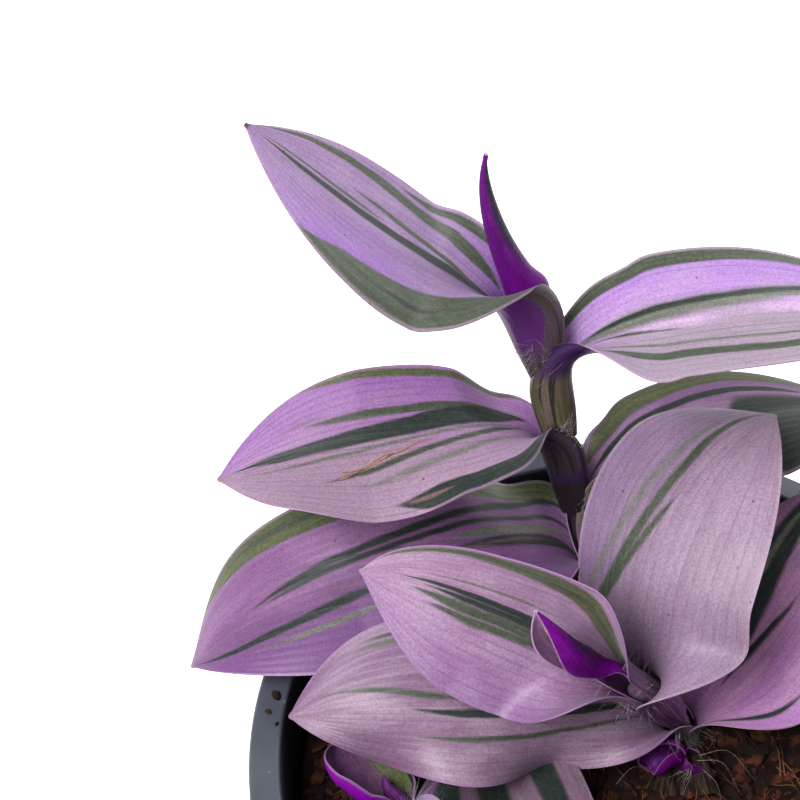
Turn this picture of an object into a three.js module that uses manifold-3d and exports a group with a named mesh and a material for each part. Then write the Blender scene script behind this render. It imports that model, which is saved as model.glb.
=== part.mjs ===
// Potted tradescantia: round nursery pot, soil and six leafy shoots, in millimetres, Z up.
// The origin is the centre of the pot's flat underside.
import * as THREE from 'three';
import Module from 'manifold-3d';

const wasm = await Module();
wasm.setup();

// Pot
const RIM_RADIUS = 60;
const POT_HEIGHT = 105;
const LIP_WIDTH = 4.9;
const SKIRT_HEIGHT = 9.5;
const WALL = 1.5;
const FOOT_RADIUS = 43;
const PAD_RADIUS = 14;
const FLOOR_TOP = 3.6;
const DRAIN_RADIUS = 4.5;
const DRAIN_RING = 28;
const DRAIN_COUNT = 8;
const POT_SIDES = 48;

// Soil
const SOIL_LEVEL = 94.5;
const SOIL_GAP = 0.3;
const STEM_GAP = 0.4;

// Stems and leaves
const STEM_RADIUS = 1.7;
const STEM_SIDES = 8;
const SHEATH_RADIUS = 2.65;
const SHEATH_CLOSED = 165;
const SHEATH_MOUTH = 122;
const SAG_END = 0.3;
const BLADE_THICKNESS = 0.7;
const BLADE_ROWS = 12;
const BLADE_COLUMNS = 6;

const COLOURS = {
  pot: 0x556070,
  soil: 0x3a2618,
  stem: 0x5b3a5e,
  blade: 0xad8ab2,
  young: 0x7d3fa6,
};

// Shoots: points on the stem's centre line from inside the soil, and how much of it the
// solid stem takes up before the young leaf at the growing tip
const STEMS = {
  a: { line: [[2, 20, 86], [-3, 27, 105], [-9, 35, 120], [-15, 49.5, 140], [-18.5, 59, 153]],
    end: 75.5 },
  b: { line: [[8, 8, 86], [6.8, 8, 96], [2, 6, 108], [-5, 4, 119], [-9, 4, 124]], end: 36 },
  c: { line: [[-28, -20, 86], [-30, -16.5, 92], [-32.3, -12.5, 96.5], [-36, -7.5, 100],
    [-38.5, -4.5, 101.5]], end: 19 },
  d: { line: [[-6, -36, 86], [-6, -38, 98], [-4, -42, 112], [0, -46, 124], [2, -48, 128]],
    end: 39.5 },
  e: { line: [[33, -12, 86], [35, -12, 100], [40, -12, 116], [46, -12, 130], [50, -12, 137]],
    end: 47 },
  f: { line: [[32, 16, 86], [35, 16, 98], [40, 16, 108], [43, 16, 113]], end: 24.5 },
  g: { line: [[10, 2, 86], [9.5, 2, 94.5], [8, 2, 98], [6, 2, 99]], end: 11.2 },
};

// Leaves: the stem, where the sheath starts on it, its length and how it widens (bell) and
// clasps the stem at its mouth, the point that the midrib bends round, the tip, the half width
// and how the blade is folded, curled, rolled and waved; sag lowers a margin near the mouth
const LEAVES = [
  { name: 'leaf_a1', stem: 'a', at: 25.5, sheath: 4.5, reach: [-50, 24, 127.5],
    tip: [-70, 16, 102.5], width: 15, heel: [0.5, 0.75], belly: [0.45, 0.6], full: [2.8, 4.4],
    fold: 8, curl: [-25, -15], roll: [-45, -50, -20] },
  { name: 'leaf_a2', stem: 'a', at: 44, sheath: 7, bell: 3.3, clasp: [145, 122], sag: [4.5, 0],
    reach: [-40, 36, 139], tip: [-65, 33, 129], width: 13.5, heel: [0.55, 0.5],
    belly: [0.56, 0.38], full: [1.9, 2.8], fold: 15, curl: [10, -5], roll: [-50, -60, -50],
    skew: -0.08 },
  { name: 'leaf_a3', stem: 'a', at: 54, sheath: 8, bell: 3.5, clasp: [122, 160], sag: [0, 4.5],
    reach: [12, 50, 152], tip: [46, 54, 143], width: 15, belly: [0.3, 0.32], fold: 12,
    curl: [10, 10], roll: [35, 35, 30], skew: 0.06 },
  { name: 'leaf_a4', stem: 'a', at: 64, sheath: 7.5, bell: 4.2, clasp: [165, 122], sag: [5, 0],
    reach: [-38, 52, 159], tip: [-59.2, 60.2, 177], width: 14.5, heel: [0.7, 0.7],
    belly: [0.4, 0.34], full: [1.6, 2.9], mouth: [0.14, 0.34], fold: 10, curl: [-40, 10],
    roll: [-35, -40, -50], skew: -0.04 },
  { name: 'leaf_a5', stem: 'a', at: 76, sheath: 2, tube: 2.2, lift: 3,
    reach: [-27.8, 55, 167], tip: [-24.8, 55.5, 175.5], width: 6.8, belly: [0.05, 0.05],
    full: [0.5, 0.5], fold: 0, curl: [150, 150], roll: [0, 0, 0], look: 'young' },
  { name: 'leaf_a6', stem: 'a', at: 34.5, sheath: 5, reach: [16, 54, 131], tip: [40, 50, 123],
    width: 16, heel: [0.4, 0.15], belly: [0.3, 0.5], fold: 10, curl: [-10, -10],
    roll: [18, 18, 8] },
  { name: 'leaf_b0', stem: 'b', at: 14.6, sheath: 2.6, reach: [-30, 0, 123], tip: [-53.8, 3.8, 108],
    width: 12.5, heel: [0.15, 0.1], belly: [0.5, 0.6], fold: 0, curl: [-5, 10],
    roll: [-35, -35, -20], skew: 0.08, wave: [1.5, 0, 1.6, 1.2] },
  { name: 'leaf_b1', stem: 'b', at: 29, sheath: 4, reach: [-24, 9, 135], tip: [-43, 19, 125],
    width: 15, heel: [0.5, 0.6], belly: [0.45, 0.3], full: [2.5, 1.7],
    fold: 12, curl: [20, 20], roll: [-20, -20, -10] },
  { name: 'leaf_b2', stem: 'b', at: 22.5, sheath: 3, reach: [-3, 22, 143], tip: [20.5, 40, 136],
    width: 16, heel: [0.15, 0.3], belly: [0.62, 0.52], full: [3.2, 2.3], fold: 0,
    curl: [-15, -15], roll: [0, 0, 0], skew: -0.14 },
  { name: 'leaf_b3', stem: 'b', at: 10.2, sheath: 1.8, reach: [26, 20, 121], tip: [40, 44, 118],
    width: 14, belly: [0.38, 0.26], fold: 5, curl: [10, 10], roll: [10, 10, 0], skew: 0.08 },
  { name: 'leaf_b4', stem: 'b', at: 36.5, sheath: 2.5, tube: 1.6, reach: [-13, 4, 129],
    tip: [-18, 4.5, 136], width: 6.3, belly: [0.5, 0.5], fold: 0, curl: [130, 130],
    roll: [-40, -40, -40], look: 'young' },
  { name: 'bud_b', stem: 'g', at: 12.2, sheath: 1, tube: 1.5, reach: [4, 2, 98.8],
    tip: [2.8, 1.6, 97.8], width: 4.5, belly: [0.6, 0.6], fold: 0, curl: [150, 150],
    roll: [0, 0, 0], look: 'young' },
  { name: 'leaf_c1', stem: 'c', at: 19.5, sheath: 2, tube: 1.7, reach: [-42, -1, 102.5],
    tip: [-46.5, 3.5, 101.5], width: 8, belly: [0.5, 0.5], fold: 0, curl: [95, 95],
    roll: [0, 0, 0], look: 'young' },
  { name: 'leaf_c2', stem: 'c', at: 14.8, sheath: 2, reach: [-43, -27, 124], tip: [-56, -40, 121],
    width: 11, fold: 8, curl: [-10, -10], roll: [0, 0, 0] },
  { name: 'leaf_d1', stem: 'd', at: 12.5, sheath: 3, reach: [-20, -15, 106], tip: [-24, 8, 97],
    width: 13.5, fold: 5, curl: [-10, -10], roll: [0, 0, 0] },
  { name: 'leaf_d2', stem: 'd', at: 19, sheath: 3, reach: [-8, -64, 124], tip: [-10, -84, 110],
    width: 13, fold: 10, curl: [10, 5], roll: [0, 0, 0] },
  { name: 'leaf_d3', stem: 'd', at: 26, sheath: 3, reach: [22, -46, 130], tip: [42, -52, 120],
    width: 12.5, fold: 10, curl: [0, 10], roll: [0, 0, 0] },
  { name: 'leaf_d4', stem: 'd', at: 32.5, sheath: 4, reach: [-20, -52, 142], tip: [-40, -54, 136],
    width: 12.5, fold: 15, curl: [10, 10], roll: [0, 0, 0] },
  { name: 'leaf_d5', stem: 'd', at: 40, sheath: 3, tube: 1.6, reach: [4, -52, 138],
    tip: [6, -53, 150], width: 6.5, belly: [0.2, 0.2], full: [1.2, 1.2], fold: 0,
    curl: [140, 140], roll: [0, 0, 0], look: 'young' },
  { name: 'leaf_e1', stem: 'e', at: 12, sheath: 3, reach: [37, -36, 118], tip: [38, -56, 110],
    width: 12.5, fold: 8, curl: [-10, -5], roll: [0, 0, 0] },
  { name: 'leaf_e2', stem: 'e', at: 18.5, sheath: 3, reach: [62, -8, 124], tip: [81, -6, 110],
    width: 13.5, fold: 10, curl: [-10, -5], roll: [0, 0, 0] },
  { name: 'leaf_e3', stem: 'e', at: 26, sheath: 4, reach: [27, -34, 138], tip: [18, -50, 131],
    width: 12.5, fold: 10, curl: [5, 5], roll: [0, 0, 0] },
  { name: 'leaf_e4', stem: 'e', at: 33.5, sheath: 4, reach: [66, 4, 144], tip: [80, 12, 136],
    width: 13, fold: 12, curl: [10, 5], roll: [0, 0, 0] },
  { name: 'leaf_e5', stem: 'e', at: 40.5, sheath: 4, reach: [36, 4, 154], tip: [27, 12, 152],
    width: 11, fold: 15, curl: [10, 15], roll: [0, 0, 0] },
  { name: 'leaf_e6', stem: 'e', at: 47.5, sheath: 3, tube: 1.6, reach: [54, -14, 148],
    tip: [55, -15, 158], width: 6.5, belly: [0.2, 0.2], full: [1.2, 1.2], fold: 0,
    curl: [140, 140], roll: [0, 0, 0], look: 'young' },
  { name: 'leaf_f1', stem: 'f', at: 11.5, sheath: 2.5, reach: [34, 33, 114], tip: [33, 43, 111],
    width: 9.5, fold: 8, curl: [-5, -5], roll: [0, 0, 0] },
  { name: 'leaf_f2', stem: 'f', at: 17.5, sheath: 3, reach: [58, 13, 127], tip: [78, 13, 114],
    width: 12.5, fold: 10, curl: [5, 5], roll: [0, 0, 0] },
  { name: 'leaf_f3', stem: 'f', at: 25, sheath: 2.5, tube: 1.6, reach: [46, 18, 120],
    tip: [47, 20, 128], width: 6, belly: [0.2, 0.2], full: [1.2, 1.2], fold: 0,
    curl: [140, 140], roll: [0, 0, 0], look: 'young' },
];

// Ease from 0 to 1
function smooth(value) {
  const t = Math.min(Math.max(value, 0), 1);
  return t * t * (3 - 2 * t);
}

// Straight-line value between the listed stops
function between(stops, values, at) {
  let k = 0;
  while (k < stops.length - 2 && at > stops[k + 1]) k += 1;
  const t = (at - stops[k]) / (stops[k + 1] - stops[k]);
  return values[k] + (values[k + 1] - values[k]) * Math.min(Math.max(t, 0), 1);
}

// Share of the half width at a place along the blade
function outline(along, heel, belly, full) {
  if (along < belly) return heel + (1 - heel) * Math.sin((Math.PI / 2) * (along / belly));
  return 1 - ((along - belly) / (1 - belly)) ** full;
}

function vector(values) {
  return new THREE.Vector3(...values);
}

function stemCurve(points) {
  return new THREE.CatmullRomCurve3(points.map(vector), false, 'catmullrom', 0.5);
}

// Closed solid from triangles and points
function solid(points, triangles) {
  const geometry = new THREE.BufferGeometry();
  const flat = points.flatMap((point) => [point.x, point.y, point.z]);
  geometry.setAttribute('position', new THREE.Float32BufferAttribute(flat, 3));
  geometry.setIndex(triangles.flat());
  return geometry;
}

// Solid skin of even thickness over a grid of points
function shell(grid, thickness) {
  const rows = grid.length;
  const columns = grid[0].length;
  const top = [];
  const bottom = [];
  for (let r = 0; r < rows; r += 1) {
    for (let c = 0; c < columns; c += 1) {
      const along = grid[Math.min(r + 1, rows - 1)][c].clone().sub(grid[Math.max(r - 1, 0)][c]);
      const across = grid[r][Math.min(c + 1, columns - 1)].clone()
        .sub(grid[r][Math.max(c - 1, 0)]);
      const normal = along.cross(across).normalize().multiplyScalar(thickness / 2);
      top.push(grid[r][c].clone().add(normal));
      bottom.push(grid[r][c].clone().sub(normal));
    }
  }
  const count = rows * columns;
  const at = (r, c) => r * columns + c;
  const triangles = [];
  for (let r = 0; r < rows - 1; r += 1) {
    for (let c = 0; c < columns - 1; c += 1) {
      const [p, q, s, t] = [at(r, c), at(r, c + 1), at(r + 1, c + 1), at(r + 1, c)];
      if (c < (columns - 1) / 2) {
        triangles.push([p, s, q], [p, t, s]);
        triangles.push([count + p, count + q, count + s], [count + p, count + s, count + t]);
      } else {
        triangles.push([p, t, q], [q, t, s]);
        triangles.push([count + p, count + q, count + t], [count + q, count + s, count + t]);
      }
    }
  }
  const wall = (m, n) => triangles.push([m, n, count + n], [m, count + n, count + m]);
  for (let c = 0; c < columns - 1; c += 1) {
    wall(at(0, c), at(0, c + 1));
    wall(at(rows - 1, c + 1), at(rows - 1, c));
  }
  for (let r = 0; r < rows - 1; r += 1) {
    wall(at(r + 1, 0), at(r, 0));
    wall(at(r, columns - 1), at(r + 1, columns - 1));
  }
  return solid([...top, ...bottom], triangles);
}

// Middle surface of one leaf: rows from the foot of the sheath to the tip
function leafGrid(leaf, rows, columns) {
  const heel = leaf.heel ?? [0.5, 0.5];
  const belly = leaf.belly ?? [0.38, 0.38];
  const full = leaf.full ?? [2.3, 2.3];
  const lift = leaf.lift ?? 2;
  const skew = leaf.skew ?? 0;
  const wave = leaf.wave ?? [0, 0, 1, 0];
  const [flare, unroll] = leaf.mouth ?? [0.12, 0.22];
  const tube = leaf.tube ?? SHEATH_RADIUS;
  const bell = leaf.bell ?? tube;
  const clasp = leaf.clasp ?? [SHEATH_MOUTH, SHEATH_MOUTH];
  const sag = leaf.sag ?? [0, 0];
  const stem = stemCurve(STEMS[leaf.stem].line);
  const stemLength = stem.getLength();
  const foot = stem.getPointAt(leaf.at / stemLength);
  const mouthAt = (leaf.at + leaf.sheath) / stemLength;
  const mouth = stem.getPointAt(mouthAt);
  const axis = stem.getTangentAt(mouthAt);
  const reach = vector(leaf.reach);
  const side = reach.clone().sub(mouth);
  side.addScaledVector(axis, -side.dot(axis)).normalize();
  const start = mouth.clone().addScaledVector(side, bell);
  const midrib = new THREE.CubicBezierCurve3(
    start, start.clone().addScaledVector(axis, lift), reach, vector(leaf.tip));
  const stations = [];
  for (let i = 0; i < 3; i += 1) {
    const point = foot.clone().lerp(mouth, i / 3)
      .addScaledVector(side, tube + (bell - tube) * (i / 3));
    stations.push({ point, tangent: mouth.clone().sub(foot).normalize(), along: i / 3 - 1 });
  }
  const steps = rows * 4;
  for (let i = 0; i <= steps; i += 1) {
    const along = i / steps;
    stations.push({ point: midrib.getPointAt(along), tangent: midrib.getTangentAt(along), along });
  }
  let normal = side.clone().negate();
  const grid = [];
  stations.forEach((station, index) => {
    normal = normal.clone().addScaledVector(station.tangent, -normal.dot(station.tangent));
    normal.normalize();
    if (index >= 3 && (index - 3) % 4 !== 0) return;
    const along = Math.max(station.along, 0);
    const turn = THREE.MathUtils.degToRad(between([0, 0.08, 0.25, 0.55, 1],
      [0, leaf.roll[0] * 0.4, ...leaf.roll], along));
    const up = normal.clone().applyAxisAngle(station.tangent, turn);
    const across = station.tangent.clone().cross(up);
    const wide = smooth(along / flare);
    const open = smooth(along / unroll);
    const sheathRadius = between([-1, 0], [tube, bell], station.along);
    const fold = THREE.MathUtils.degToRad(leaf.fold) * open * (1 - 0.4 * along);
    const row = [];
    for (let c = 0; c <= columns; c += 1) {
      const u = (2 * c) / columns - 1;
      const hand = u < 0 ? 0 : 1;
      const closed = between([-1, 0], [SHEATH_CLOSED, clasp[hand]], station.along);
      const curl = leaf.curl[hand] * between([0, 0.45, 1], [1.2, 1, 0.6], along);
      const bend = THREE.MathUtils.degToRad(closed * (1 - open) + curl * open);
      const blade = Math.max(leaf.width * outline(along, heel[hand], belly[hand], full[hand]), 0.3);
      const sheathWidth = sheathRadius * THREE.MathUtils.degToRad(closed);
      const half = (sheathWidth * (1 - wide) + blade * wide) * (1 + skew * Math.sign(u) * open);
      const distance = Math.abs(u) * half;
      const curvature = (Math.abs(bend) < 0.01 ? 0.01 : bend) / half;
      const x = Math.sin(curvature * distance) / curvature;
      const y = (1 - Math.cos(curvature * distance)) / curvature;
      const out = x * Math.cos(fold) - y * Math.sin(fold);
      const ripple = wave[hand] * u * u * Math.sin(2 * Math.PI * wave[2] * along + wave[3])
        * Math.min(1, 4 * (1 - along)) * open;
      const rise = x * Math.sin(fold) + y * Math.cos(fold) + ripple;
      const near = Math.min(along / SAG_END, 1);
      const drop = 6.75 * sag[hand] * u * u * near * (1 - near) ** 2;
      row.push(station.point.clone().addScaledVector(across, u < 0 ? -out : out)
        .addScaledVector(up, rise).addScaledVector(axis, -drop));
    }
    grid.push(row);
  });
  return grid;
}

// Round solid along a stem's centre line
function stemSolid(stem, radius, extra) {
  const curve = stemCurve(stem.line);
  const share = stem.end / curve.getLength();
  const rings = Math.max(5, Math.round(stem.end / 6));
  const solidPoints = [];
  let normal = new THREE.Vector3(1, 0, 0);
  for (let r = 0; r <= rings; r += 1) {
    const tangent = curve.getTangentAt((share * r) / rings);
    normal = normal.clone().addScaledVector(tangent, -normal.dot(tangent)).normalize();
    for (let s = 0; s < STEM_SIDES; s += 1) {
      const spoke = normal.clone().applyAxisAngle(tangent, (2 * Math.PI * s) / STEM_SIDES);
      solidPoints.push(curve.getPointAt((share * r) / rings).addScaledVector(spoke, radius)
        .addScaledVector(tangent, r === 0 ? -extra : 0));
    }
  }
  const triangles = [];
  const at = (r, s) => r * STEM_SIDES + (s % STEM_SIDES);
  for (let r = 0; r < rings; r += 1) {
    for (let s = 0; s < STEM_SIDES; s += 1) {
      triangles.push([at(r, s), at(r, s + 1), at(r + 1, s + 1)]);
      triangles.push([at(r, s), at(r + 1, s + 1), at(r + 1, s)]);
    }
  }
  for (let s = 1; s < STEM_SIDES - 1; s += 1) {
    triangles.push([at(0, 0), at(0, s + 1), at(0, s)]);
    triangles.push([at(rings, 0), at(rings, s), at(rings, s + 1)]);
  }
  return solid(solidPoints, triangles);
}

// Turned solid about Z from a profile that starts and ends on the axis
function turned(profile, heightAt = () => 0) {
  const points = [new THREE.Vector3(0, 0, profile[0][1])];
  const inner = profile.slice(1, -1);
  inner.forEach(([radius, z]) => {
    for (let s = 0; s < POT_SIDES; s += 1) {
      const angle = (2 * Math.PI * s) / POT_SIDES;
      const x = radius * Math.cos(angle);
      const y = radius * Math.sin(angle);
      points.push(new THREE.Vector3(x, y, z + heightAt(x, y, z)));
    }
  });
  const last = points.length;
  const end = profile[profile.length - 1][1];
  points.push(new THREE.Vector3(0, 0, end + heightAt(0, 0, end)));
  const at = (r, s) => 1 + r * POT_SIDES + (s % POT_SIDES);
  const triangles = [];
  for (let s = 0; s < POT_SIDES; s += 1) {
    triangles.push([0, at(0, s + 1), at(0, s)]);
    for (let r = 0; r < inner.length - 1; r += 1) {
      triangles.push([at(r, s), at(r, s + 1), at(r + 1, s + 1)]);
      triangles.push([at(r, s), at(r + 1, s + 1), at(r + 1, s)]);
    }
    triangles.push([at(inner.length - 1, s), at(inner.length - 1, s + 1), last]);
  }
  return solid(points, triangles);
}

function toManifold(geometry) {
  return new wasm.Manifold(new wasm.Mesh({
    numProp: 3,
    vertProperties: new Float32Array(geometry.attributes.position.array),
    triVerts: new Uint32Array(geometry.index.array),
  }));
}

function fromManifold(body) {
  const mesh = body.getMesh();
  const geometry = new THREE.BufferGeometry();
  geometry.setAttribute('position', new THREE.Float32BufferAttribute(mesh.vertProperties, 3));
  geometry.setIndex([...mesh.triVerts]);
  return geometry;
}

// Pot: flat pad and foot ring below, tapered wall, turned-out lip with a skirt, drain holes
function potGeometry() {
  const lipInner = RIM_RADIUS - LIP_WIDTH;
  const wallTop = lipInner - 0.3;
  const skirtFoot = POT_HEIGHT - SKIRT_HEIGHT;
  const profile = [
    [0, 0],
    [PAD_RADIUS, 0],
    [PAD_RADIUS + 1.5, 1.6],
    [FOOT_RADIUS - 5, 1.6],
    [FOOT_RADIUS - 4, 0],
    [FOOT_RADIUS, 0],
    [FOOT_RADIUS + 0.7, 1],
    [wallTop, skirtFoot],
    [wallTop + 0.3, POT_HEIGHT - 2.4],
    [RIM_RADIUS - 1.6, POT_HEIGHT - 2.4],
    [RIM_RADIUS - 1.5, skirtFoot],
    [RIM_RADIUS - 0.3, skirtFoot],
    [RIM_RADIUS, POT_HEIGHT - 0.9],
    [RIM_RADIUS - 0.9, POT_HEIGHT],
    [lipInner + 0.7, POT_HEIGHT],
    [lipInner, POT_HEIGHT - 0.6],
    [wallTop - WALL, SOIL_LEVEL - 2],
    [FOOT_RADIUS - WALL, FLOOR_TOP + 2],
    [FOOT_RADIUS - WALL - 2, FLOOR_TOP],
    [0, FLOOR_TOP],
  ];
  let body = toManifold(turned(profile));
  for (let i = 0; i < DRAIN_COUNT; i += 1) {
    const angle = (2 * Math.PI * (i + 0.5)) / DRAIN_COUNT;
    const drill = wasm.Manifold.cylinder(12, DRAIN_RADIUS, DRAIN_RADIUS, 16, true)
      .translate([DRAIN_RING * Math.cos(angle), DRAIN_RING * Math.sin(angle), 2]);
    body = body.subtract(drill);
  }
  return fromManifold(body);
}

// Soil: fills the pot to a slightly uneven top and has a plain hole for each stem
function soilGeometry() {
  const wallTop = RIM_RADIUS - LIP_WIDTH - 0.3 - WALL - SOIL_GAP;
  const bump = (x, y, z) => {
    if (z < SOIL_LEVEL - 1.2) return 0;
    return 0.7 * Math.sin(0.21 * x + 1) * Math.cos(0.17 * y) + 0.3 * Math.sin(0.4 * y);
  };
  const profile = [
    [0, FLOOR_TOP + SOIL_GAP],
    [FOOT_RADIUS - WALL - 2.4, FLOOR_TOP + SOIL_GAP],
    [FOOT_RADIUS - WALL - SOIL_GAP, FLOOR_TOP + 2.2],
    [wallTop - 0.2, SOIL_LEVEL - 3],
    [wallTop - 0.4, SOIL_LEVEL - 1.1],
    [46, SOIL_LEVEL],
    [36, SOIL_LEVEL],
    [25, SOIL_LEVEL],
    [13, SOIL_LEVEL],
    [0, SOIL_LEVEL],
  ];
  let body = toManifold(turned(profile, bump));
  Object.values(STEMS).forEach((stem) => {
    body = body.subtract(toManifold(stemSolid(stem, STEM_RADIUS + STEM_GAP, STEM_GAP)));
  });
  return fromManifold(body);
}

const plant = new THREE.Group();
plant.name = 'potted_tradescantia';

function add(name, geometry, colour, roughness) {
  const plain = geometry.toNonIndexed();
  plain.computeVertexNormals();
  const material = new THREE.MeshStandardMaterial({ color: colour, roughness, metalness: 0 });
  const mesh = new THREE.Mesh(plain, material);
  mesh.name = name;
  plant.add(mesh);
}

add('pot', potGeometry(), COLOURS.pot, 0.45);
add('soil', soilGeometry(), COLOURS.soil, 0.95);
Object.entries(STEMS).forEach(([letter, stem]) => {
  add(`stem_${letter}`, stemSolid(stem, STEM_RADIUS, 0), COLOURS.stem, 0.5);
});
LEAVES.forEach((leaf) => {
  const geometry = shell(leafGrid(leaf, BLADE_ROWS, BLADE_COLUMNS), BLADE_THICKNESS);
  add(leaf.name, geometry, COLOURS[leaf.look ?? 'blade'], 0.5);
});

export default plant;
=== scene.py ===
"""Potted tradescantia: round nursery pot, peat soil, six leafy shoots and a bud.

Lengths are millimetres, Z up, with the origin at the centre of the pot's underside, and a
mesh is brought to metres as its vertices are placed. Materials measure in metres. A colour
is the code of a screen colour, red, green and blue as hexadecimal pairs.
"""
import logging
import math
import random
from collections.abc import Callable, Iterator, Sequence
from contextlib import contextmanager
from dataclasses import dataclass
from enum import Enum

import bpy
import numpy as np
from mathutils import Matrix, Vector, noise


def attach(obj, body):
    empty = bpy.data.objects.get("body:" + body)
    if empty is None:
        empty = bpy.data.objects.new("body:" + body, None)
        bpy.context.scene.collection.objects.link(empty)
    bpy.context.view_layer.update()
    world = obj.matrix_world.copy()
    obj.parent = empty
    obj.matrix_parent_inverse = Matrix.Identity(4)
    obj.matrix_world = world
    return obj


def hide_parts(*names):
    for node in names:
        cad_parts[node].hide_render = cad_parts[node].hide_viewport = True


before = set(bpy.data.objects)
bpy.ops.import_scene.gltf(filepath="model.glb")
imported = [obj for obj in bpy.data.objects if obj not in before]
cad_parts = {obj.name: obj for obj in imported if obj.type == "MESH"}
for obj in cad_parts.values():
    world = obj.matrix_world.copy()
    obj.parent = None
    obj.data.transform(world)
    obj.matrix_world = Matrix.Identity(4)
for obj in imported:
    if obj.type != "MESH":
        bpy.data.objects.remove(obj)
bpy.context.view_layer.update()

LOG = logging.getLogger("potted_plant")
MM = 0.001
TURN = 2 * math.pi
Pair = tuple[float, float]
Point = tuple[float, float, float]
Piece = bpy.types.Object
Surface = bpy.types.Material
Socket = bpy.types.NodeSocket
Dice = random.Random

# Pot, as in the solids
RIM_RADIUS = 60.0
POT_HEIGHT = 105.0
LIP_WIDTH = 4.9
LIP_INNER = RIM_RADIUS - LIP_WIDTH
LIP_THICKNESS = 2.4
SKIRT_HEIGHT = 9.5
WALL = 1.5
WALL_TOP = LIP_INNER - 0.3
FOOT_RADIUS = 43.0
FOOT_RISE = 1.6
PAD_RADIUS = 14.0
FLOOR_TOP = 3.6
DRAIN_RADIUS = 4.5
DRAIN_RING = 28.0
DRAIN_COUNT = 8
SOIL_LEVEL = 94.5

# Rounding of the rim, outside and inside
OUTER_ROUND = 0.9
INNER_ROUND = 0.7

# Stems and leaves, as in the solids
STEM_RADIUS = 1.7
JOINT_SWELL = 0.12
SHEATH_RADIUS = 2.65
SHEATH_FOOT = 2.4
SHEATH_CLOSED = 165.0
SHEATH_MOUTH = 122.0
SAG_END = 0.3
SAG_PEAK = 6.75
STRIPE_BREADTH = 1.3

# Camera and studio
EYE_PLACE = (-37.0, -133.0, 346.0)
EYE_TILT = 40.0
LENS = 80.0
SENSOR = 36.0
LAMP_AIM = (0.0, 10.0, 110.0)
FLOOR_RADIUS = 3000.0
FLOOR_DROP = 0.5
FLOOR_GLOW = 0.72
SKY = (0.97, 0.98, 1.0, 1.0)
SKY_GLOW = 0.36

# Colour sockets of a Mix node
MIX_FIRST, MIX_SECOND, MIX_RESULT = 6, 7, 2


def rgb(code: str) -> tuple[float, float, float, float]:
    """Linear red, green, blue and 1 of a screen colour."""
    parts = [int(code[k:k + 2], 16) / 255 for k in (0, 2, 4)]
    linear = [p / 12.92 if p <= 0.04045 else ((p + 0.055) / 1.055) ** 2.4 for p in parts]
    return (*linear, 1.0)


def smooth(value: np.ndarray | float) -> np.ndarray | float:
    """Ease from 0 to 1."""
    t = np.clip(value, 0, 1)
    return t * t * (3 - 2 * t)


def unit(arrow: np.ndarray) -> np.ndarray:
    """The same direction with length 1."""
    return arrow / np.linalg.norm(arrow)


def turned(arrow: np.ndarray, axis: np.ndarray, angle: float) -> np.ndarray:
    """A direction turned about a unit axis by an angle in radians."""
    along = axis * (axis @ arrow) * (1 - math.cos(angle))
    return arrow * math.cos(angle) + np.cross(axis, arrow) * math.sin(angle) + along


def deselect() -> None:
    """Leave edit mode if needed and select nothing."""
    if bpy.context.object is not None and bpy.context.object.mode != "OBJECT":
        bpy.ops.object.mode_set(mode="OBJECT")
    bpy.ops.object.select_all(action="DESELECT")


def take(piece: Piece) -> None:
    """Select one piece alone and make it active."""
    deselect()
    piece.select_set(True)
    bpy.context.view_layer.objects.active = piece


@contextmanager
def editing() -> Iterator[None]:
    """Edit mode on the active piece, with all of it selected."""
    bpy.ops.object.mode_set(mode="EDIT")
    bpy.ops.mesh.select_all(action="SELECT")
    yield
    bpy.ops.object.mode_set(mode="OBJECT")


def named(name: str) -> Piece:
    """The active object, given its name and a mesh of the same name."""
    piece = bpy.context.object
    piece.name = name
    piece.data.name = name
    return piece


def apply_modifier(piece: Piece, kind: str, **settings: object) -> None:
    """Add one modifier, set it and apply it.

    Args:
        piece: the object that it works on.
        kind: Blender's name of the modifier type.
        settings: the modifier's own values.
    """
    take(piece)
    bpy.ops.object.modifier_add(type=kind)
    modifier = piece.modifiers[-1]
    for key, value in settings.items():
        setattr(modifier, key, value)
    bpy.ops.object.modifier_apply(modifier=modifier.name)


def place_points(piece: Piece, points: np.ndarray) -> None:
    """Move every vertex of a piece to its own point, given in millimetres."""
    flat = (np.asarray(points, float) * MM).astype(np.float32).ravel()
    piece.data.vertices.foreach_set("co", flat)
    piece.data.update()


def mesh_points(piece: Piece) -> np.ndarray:
    """The vertices of a piece as an array, in the mesh's own units."""
    flat = np.zeros(len(piece.data.vertices) * 3, np.float32)
    piece.data.vertices.foreach_get("co", flat)
    return flat.reshape(-1, 3).astype(float)


def flat_grid(name: str, columns: int, rows: int, size: float) -> Piece:
    """A flat sheet of cells with a UV map."""
    deselect()
    bpy.ops.mesh.primitive_grid_add(x_subdivisions=columns, y_subdivisions=rows, size=size,
                                    calc_uvs=True)
    piece = named(name)
    piece.data.uv_layers[0].name = "UVMap"
    return piece


def copies(name: str, pattern: Piece, places: list[np.ndarray]) -> Piece:
    """One mesh holding many copies of a small pattern mesh.

    Args:
        name: the new piece's name.
        pattern: the shape that is repeated, which is removed afterwards.
        places: the points of each copy in millimetres, one array a copy.

    Returns:
        The piece with all copies.
    """
    faces = [tuple(p.vertices) for p in pattern.data.polygons]
    count = len(pattern.data.vertices)
    points = np.vstack(places) * MM
    loops = [tuple(count * k + v for v in f) for k in range(len(places)) for f in faces]
    mesh = bpy.data.meshes.new(name)
    mesh.from_pydata(points.tolist(), [], loops)
    mesh.update()
    piece = bpy.data.objects.new(name, mesh)
    bpy.context.scene.collection.objects.link(piece)
    bpy.data.objects.remove(pattern)
    return piece


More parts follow.
